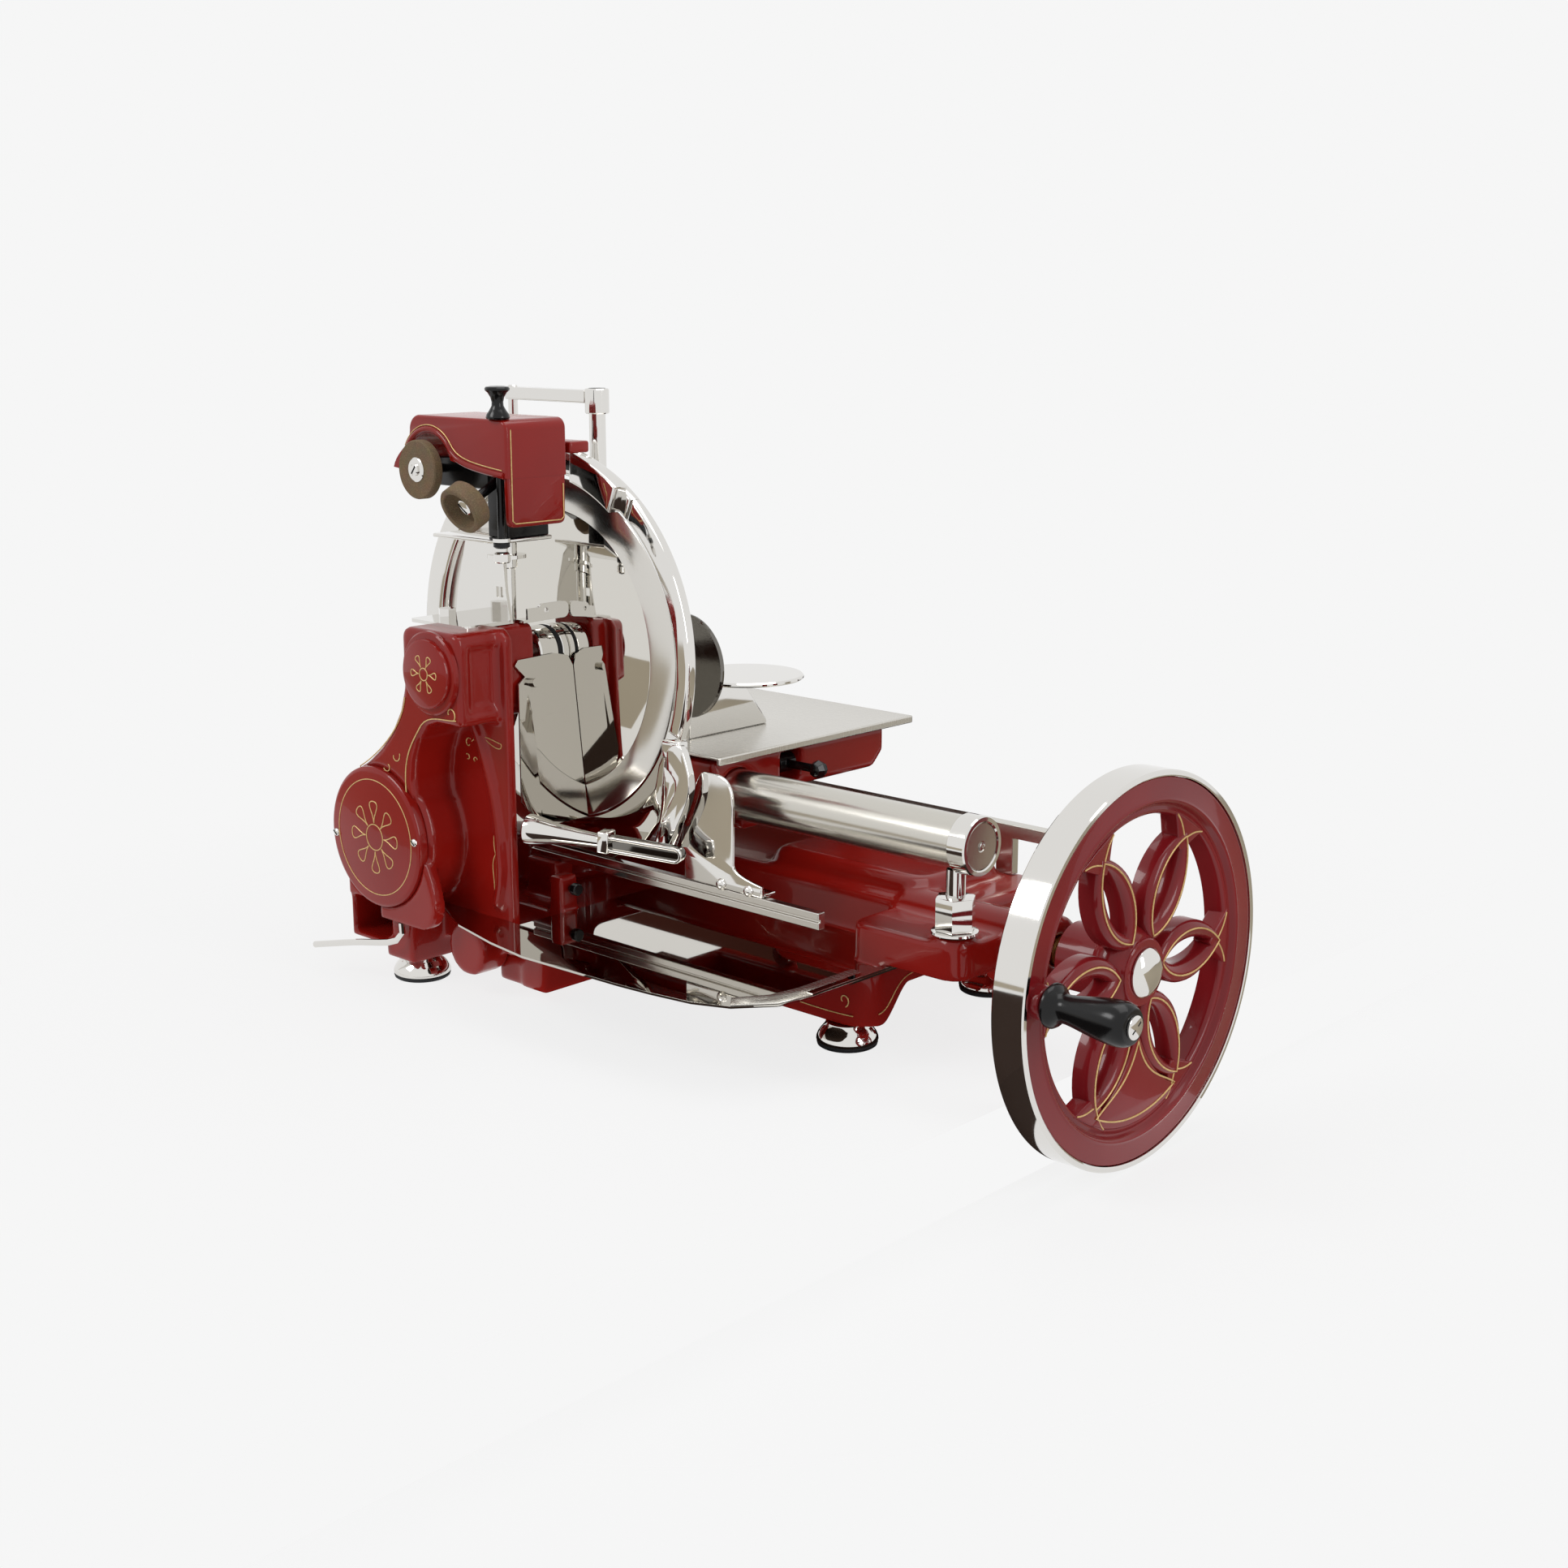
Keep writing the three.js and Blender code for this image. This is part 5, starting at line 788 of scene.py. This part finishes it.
# Black body under the cover with its spindles, the polished plate and post below, and the red box behind
def make_sharpener_body():
    core = block((98, 13, 407.6), (124, 58, 500), 1.2)
    arm = block((28, 13, 447), (124, 40, 472), 1.6)
    spindle = spun([(0, -13), (4, -13), (4, 20), (0, 20)], "Y", (stone_x, 0, stone_z), small_turn)
    cup_spindle = spun([(0, 2), (4, 2), (4, 44), (0, 44)], "Y", (0, 0, 0), small_turn)
    bmesh.ops.transform(cup_spindle, matrix=cup_place, verts=cup_spindle.verts)
    stand_in("sharpener_body_black", merged(core, arm, spindle, cup_spindle), plastic, "sharpener_body")
    plate = block((40, -1, 404), (126, 60, 407.4), 1.2)
    post = spun([(0, 330.4), (7, 330.4), (7, 376), (9, 377), (9, 384), (17, 385), (17, 388), (9, 389),
        (9, 404), (0, 404)], "Z", (78, 49, 0), round_turn)
    make_piece("sharpener_post_polished", merged(plate, post), chrome, "sharpener")
    box = block((100, 70, 476), (140, 92, 486), 2.2)
    make_piece("sharpener_back_box", box, enamel, "sharpener")


make_sharpener_cover()
make_sharpener_body()
for node, finish, rim in (("meat_table", table_steel, 1.6), ("sharpener_stand", chrome, 1.0),
        ("thickness_lever", plastic, 1.0), ("feed_knob", plastic, 1.6), ("side_knob", plastic, 1.4),
        ("slide_rail", satin_chrome, 0.8), ("receiving_tray", mirror_steel, 0.8),
        ("deflector", mirror_steel, 0.5), ("deflector_bracket", chrome, 0.8), ("rear_track", bar_steel, 0.8)):
    fettled(node, finish, rim)


# Gold lines lie just proud of the enamel, painted with a lining brush about a millimetre wide
def gold_lines(axis, level, outlines, radius=0.5):
    return [swept([spot_on(axis, level, u, v) for u, v in outline], radius, 8) for outline in outlines]


# Spiral that closes to about a third of its radius
def curl(u, v, start, turn, radius):
    count = 14
    steps = [(start + turn * i / count, radius * (1 - 0.68 * i / count)) for i in range(count + 1)]
    return [(u + reach * math.cos(angle), v + reach * math.sin(angle)) for angle, reach in steps]


# Rosette of loops round a ring
def rosette(u, v, level, loops, inner, outer):
    outlines = []
    for k in range(loops):
        angle = math.tau * k / loops
        points = []
        for t in [i / 16 for i in range(17)]:
            side = math.sin(math.pi * t) * math.sin(math.tau * t) * (outer - inner) * 0.36
            reach = inner + (outer - inner) * math.sin(math.pi * t)
            points.append((u + reach * math.cos(angle) - side * math.sin(angle),
                v + reach * math.sin(angle) + side * math.cos(angle)))
        outlines.append(points)
    return gold_lines("Y", level, outlines + [arc_points(u, v, inner - 1.2, 0, math.tau, 40)])


def make_case_lines():
    face, wall, foot = -35.25, 9.95, 111.9
    left = [(37, 268)] + bend_points((37, 268), (33, 243), (0, 214), (-32, 197), 16)
    arch = [(106, 256.5)] + bend_points((106, 256.5), (88, 254), (70, 258), (58, 246), 8)
    arch += bend_points((58, 246), (42, 226), (30, 214), (34, 178), 12)
    lines = gold_lines("Y", face,
        [left, curl(-28, 191.5, 2.2, 4.2, 6), arch, curl(99, 261.5, -0.9, 4.4, 7)], 0.55)
    lines += gold_lines("Y", face, [curl(20, 214, 0.4, -3.6, 7), curl(8, 203, 3.6, 3.6, 6)])
    make_piece("gear_case_lines", merged(*lines), gold, "frame")
    leaf = [(70, 227)] + bend_points((70, 227), (84, 238), (96, 232), (110, 230), 12)
    leaf += bend_points((110, 230), (112, 222), (98, 226), (88, 232), 10)
    strip = [(97, 170)] + bend_points((97, 170), (103, 156), (92, 146), (98, 130), 12)
    strip += bend_points((98, 130), (88, 118), (100, 104), (93, 84), 12)
    side = gold_lines("Y", wall, [leaf, strip, curl(66, 225, 0.9, 4.6, 5), curl(64, 212, 2.2, -4.2, 3.4),
        curl(74, 211, 0.2, 4.4, 3), curl(100, 164, 2.6, -4.2, 4)])
    make_piece("gear_case_side_lines", merged(*side), gold, "frame")
    front = [(340, 33)] + bend_points((340, 33), (366, 31), (396, 30), (424, 32), 14)
    side_rise = [(128, 33)] + bend_points((128, 33), (146, 34), (146, 57), (170, 59), 12) + [(200, 60)]
    base = gold_lines("Y", foot, [front]) + gold_lines("X", 438.1, [side_rise])
    base += gold_lines("Y", foot, [curl(414, 44, -1.2, 5.2, 6)])
    make_piece("base_lines", merged(*base), gold, "frame")
    cover = gold_lines("Y", cover_face - 0.05, [arc_points(lay_x, lay_z, 52.6, 0, math.tau, 96)], 0.45)
    cover += rosette(lay_x, lay_z, cover_face - 0.05, 8, 13, 33)
    make_piece("big_cover_rosette", merged(*cover), gold, "frame")
    small = rosette(upper_x, upper_z, upper_face - 0.05, 6, 6.5, 17)
    make_piece("upper_cover_rosette", merged(*small), gold, "frame")


def make_sharpener_dress():
    stone_one = spun([(4.4, -14), (24, -14), (25, -13), (25, -6), (24, -5), (4.4, -5)], "Y",
        (stone_x, 0, stone_z), round_turn, closed=True)
    stand_in("grinding_stone_trued", stone_one, stone, "grinding_stone")
    washer = spun([(0, -17.4), (4, -17.4), (5, -16.6), (5, -15.4), (9.6, -15.2), (10.4, -14.6), (10.4, -14),
        (0, -14)], "Y", (stone_x, 0, stone_z), small_turn)
    make_piece("grinding_stone_washer", washer, chrome, "grinding_stone")
    make_slot("grinding_stone_slot", (stone_x - 4.2, -17.7, stone_z - 0.6),
        (stone_x + 4.2, -16.9, stone_z + 0.6), (stone_x, -17, stone_z), -0.9, "Y", "grinding_stone")
    cup = spun([(0, 8), (19.6, 8), (21, 6.6), (21, -7), (20.2, -8), (17.2, -8), (16.4, -7.2), (15.6, -2),
        (13.6, 2.2), (0, 2.6)], "Y", (0, 0, 0), round_turn)
    screw = spun([(0, -3.4), (5, -3.2), (7.2, -2), (8, -0.4), (8, 2.8), (0, 2.8)], "Y", (0, 0, 0), small_turn)
    cleft = block((-5.4, -3.7, -0.6), (5.4, -2.6, 0.6))
    bmesh.ops.rotate(cleft, verts=cleft.verts, matrix=Matrix.Rotation(1.0, 3, "Y"))
    for shape in (cup, screw, cleft):
        bmesh.ops.transform(shape, matrix=cup_place, verts=shape.verts)
    stand_in("honing_stone_cup", cup, stone, "honing_stone")
    make_piece("honing_stone_screw", screw, chrome, "honing_stone")
    # The cleft is a thin near-black strip: the groove's painted shade
    make_piece("honing_stone_slot", cleft, shade_painted_gap, "honing_stone")
    knob = spun([(0, 388), (3.4, 388), (4, 388.8), (4, 400), (7, 402), (7, 405), (5, 407.6), (3, 408),
        (2.6, 507.3), (9.4, 507.4), (10, 508.6), (9.4, 511), (7, 514.4), (5, 518), (4.8, 521), (5.8, 525),
        (8, 528.6), (10.2, 530.6), (10.4, 532.2), (9.4, 533.4), (6, 534), (0, 534)], "Z",
        (knob_x, knob_y, 0), round_turn)
    stand_in("sharpener_knob_turned", knob, plastic, "sharpener_knob")
    sleeve = spun([(4.05, 388.6), (6.2, 388.6), (7, 389.6), (7, 396), (5, 398), (5, 405), (7.4, 406),
        (7.4, 409), (4.05, 409)], "Z", (knob_x, knob_y, 0), small_turn, closed=True)
    make_piece("sharpener_rod_sleeve", sleeve, chrome, "sharpener_knob")


def make_sharpener_lines():
    arch = arc_points(stone_x, stone_z, 37.2, math.radians(150), math.radians(36), 20)
    arch += bend_points(arch[-1], (76, 473), (92, 470), (134, 465.6), 12)
    panel = [(5, 499), (5, 424), (8, 421.6), (58, 421.6), (61, 424), (61, 452)]
    lines = gold_lines("Y", -0.3, [arch]) + gold_lines("X", 140.25, [panel])
    make_piece("sharpener_cover_lines", merged(*lines), gold, "sharpener")


make_case_lines()
make_sharpener_dress()
make_sharpener_lines()


# Studio in metres: pale paper on the counter and below its edge, soft boxes, and the photograph's camera
pale = linear("f6f6f6")
paper_tone = 0.88
paper_glow = 0.88
counter_edge = 0.585
lower_floor = -0.0675
paper_left, paper_right, paper_near, paper_far = -1.6, 2.4, -1.8, 2.0
card_near, card_far, card_level = -0.75, 0.6, 0.0012
back_card_y, right_card_z = 0.45, -0.06
# Tones of the cards that only reflections see: painted shade and painted reflections in the metal
reflected_shade_tone, reflected_red_tone, beige_tone = "3a2f2a", "46261f", "aaa190"
camera_place = (1.5001, -1.1331, 0.610)
camera_elevation, camera_azimuth = 13.1, 42.8
camera_lens, camera_sensor = 48.65, 36


def make_world():
    world = bpy.data.worlds.new("pale_studio")
    bpy.context.scene.world = world
    tree = cleared(world)
    rays = add_node(tree, "ShaderNodeLightPath")
    mirrors = add_node(tree, "ShaderNodeMath", {"operation": "MAXIMUM"},
        links={0: rays.outputs["Is Glossy Ray"], 1: rays.outputs["Is Transmission Ray"]})
    seen = add_node(tree, "ShaderNodeMath", {"operation": "MAXIMUM"},
        links={0: mirrors.outputs[0], 1: rays.outputs["Is Camera Ray"]})
    lit = add_node(tree, "ShaderNodeBackground", inputs={"Color": (1, 1, 1, 1), "Strength": 0.52})
    shown = add_node(tree, "ShaderNodeBackground", inputs={"Color": pale, "Strength": 1.0})
    either = add_node(tree, "ShaderNodeMixShader", links={0: seen.outputs[0], 1: lit.outputs[0],
        2: shown.outputs[0]})
    add_node(tree, "ShaderNodeOutputWorld", links={0: either.outputs[0]})


# Paper that keeps the shadows near the machine and runs out into the backdrop
def make_paper():
    material = bpy.data.materials.new("matt_paper")
    tree = cleared(material)
    place = add_node(tree, "ShaderNodeTexCoord")
    centred = add_node(tree, "ShaderNodeMapping", inputs={"Location": (-0.25, -0.12, 0)},
        links={"Vector": place.outputs["Object"]})
    reach = add_node(tree, "ShaderNodeVectorMath", {"operation": "LENGTH"}, links={0: centred.outputs[0]})
    fade = add_node(tree, "ShaderNodeMapRange", {"interpolation_type": "SMOOTHSTEP"},
        inputs={"From Min": 0.5, "From Max": 0.95, "To Min": 0.0, "To Max": 1.0},
        links={"Value": reach.outputs["Value"]})
    paper = add_node(tree, "ShaderNodeBsdfDiffuse", inputs={"Color": (paper_tone, paper_tone, paper_tone, 1)})
    glow = add_node(tree, "ShaderNodeEmission", inputs={"Color": pale, "Strength": 1.0})
    sheet = add_node(tree, "ShaderNodeMixShader", inputs={"Fac": paper_glow},
        links={1: paper.outputs[0], 2: glow.outputs[0]})
    clear = add_node(tree, "ShaderNodeBsdfTransparent")
    mix = add_node(tree, "ShaderNodeMixShader", links={0: fade.outputs[0], 1: sheet.outputs[0],
        2: clear.outputs[0]})
    add_node(tree, "ShaderNodeOutputMaterial", links={0: mix.outputs[0]})
    return material


def plain_material(name, kind, inputs):
    material = bpy.data.materials.new(name)
    tree = cleared(material)
    surface = add_node(tree, kind, inputs=inputs)
    add_node(tree, "ShaderNodeOutputMaterial", links={0: surface.outputs[0]})
    return material


# Flat sheet between two opposite corners, lying or upright
def make_stage(name, low, high, material):
    across = low[0] == high[0]
    second = (high[0], high[1] if across else low[1], low[2])
    fourth = (low[0], low[1] if across else high[1], high[2])
    shape = bmesh.new()
    bmesh.ops.contextual_create(shape, geom=[shape.verts.new(corner)
        for corner in (low, second, high, fourth)])
    mesh = bpy.data.meshes.new(name)
    shape.to_mesh(mesh)
    shape.free()
    mesh.materials.append(material)
    sheet = bpy.data.objects.new(name, mesh)
    bpy.context.collection.objects.link(sheet)
    return sheet


# Card that only reflections see, so that polished metal has something to show: its tone is a painted
# reflection
def make_card(name, low, high, tone):
    card = make_stage(name, low, high, plain_material(name, "ShaderNodeBsdfDiffuse", {"Color": linear(tone)}))
    card.visible_camera = False
    card.visible_diffuse = False
    card.visible_shadow = False


def make_lamp(name, place, aim, size, power):
    data = bpy.data.lights.new(name, "AREA")
    data.shape = "RECTANGLE"
    data.size, data.size_y = size
    data.energy = power
    lamp = bpy.data.objects.new(name, data)
    bpy.context.collection.objects.link(lamp)
    lamp.location = place
    lamp.rotation_euler = (Vector(aim) - Vector(place)).to_track_quat("-Z", "Y").to_euler()


make_world()
paper = make_paper()
make_stage("counter_paper", (paper_left, paper_near, 0), (counter_edge, paper_far, 0), paper)
make_stage("lower_paper", (counter_edge, paper_near, lower_floor), (paper_right, paper_far, lower_floor),
    paper)
# The counter's front edge keeps the paper's tone, so the step under the wheel doesn't show as a band
make_stage("counter_edge", (counter_edge, paper_near, lower_floor), (counter_edge, paper_far, -0.0002),
    plain_material("counter_edge_paper", "ShaderNodeEmission", {"Color": pale, "Strength": 1.0}))
# Dark cards on the counter paper and at its edge paint shade into the floor that the metal mirrors; the beige
# and dark red cards paint toned reflections
make_card("counter_shade_card", (0.12, card_near, card_level), (0.5856, card_far, card_level), reflected_shade_tone)
make_card("edge_shade_card", (0.5855, card_near, lower_floor), (0.5855, card_far, 0.0013), reflected_shade_tone)
make_card("front_card", (-1.5, -1.7, card_level), (-0.05, -0.4, card_level), beige_tone)
make_card("right_card", (0.6, 0.35, right_card_z), (1.7, 1.7, right_card_z), beige_tone)
make_card("back_card", (-0.7, back_card_y, 0.0), (0.3, back_card_y, 0.235), reflected_red_tone)
make_lamp("key_box", (-0.7, -1.9, 2.0), (0.2, 0.1, 0.2), (1.2, 0.9), 24)
make_lamp("top_box", (0.5, 0.5, 2.3), (0.3, 0.15, 0.1), (1.9, 1.5), 17)
make_lamp("side_box", (2.4, 0.3, 1.1), (0.4, 0.1, 0.1), (0.5, 1.4), 12)

camera_data = bpy.data.cameras.new("photo_camera")
camera_data.lens = camera_lens
camera_data.sensor_width = camera_sensor
camera = bpy.data.objects.new("photo_camera", camera_data)
bpy.context.collection.objects.link(camera)
camera.location = camera_place
camera.rotation_euler = (math.radians(90 - camera_elevation), 0, math.radians(camera_azimuth))
bpy.context.scene.camera = camera
bpy.context.scene.view_settings.view_transform = "Standard"
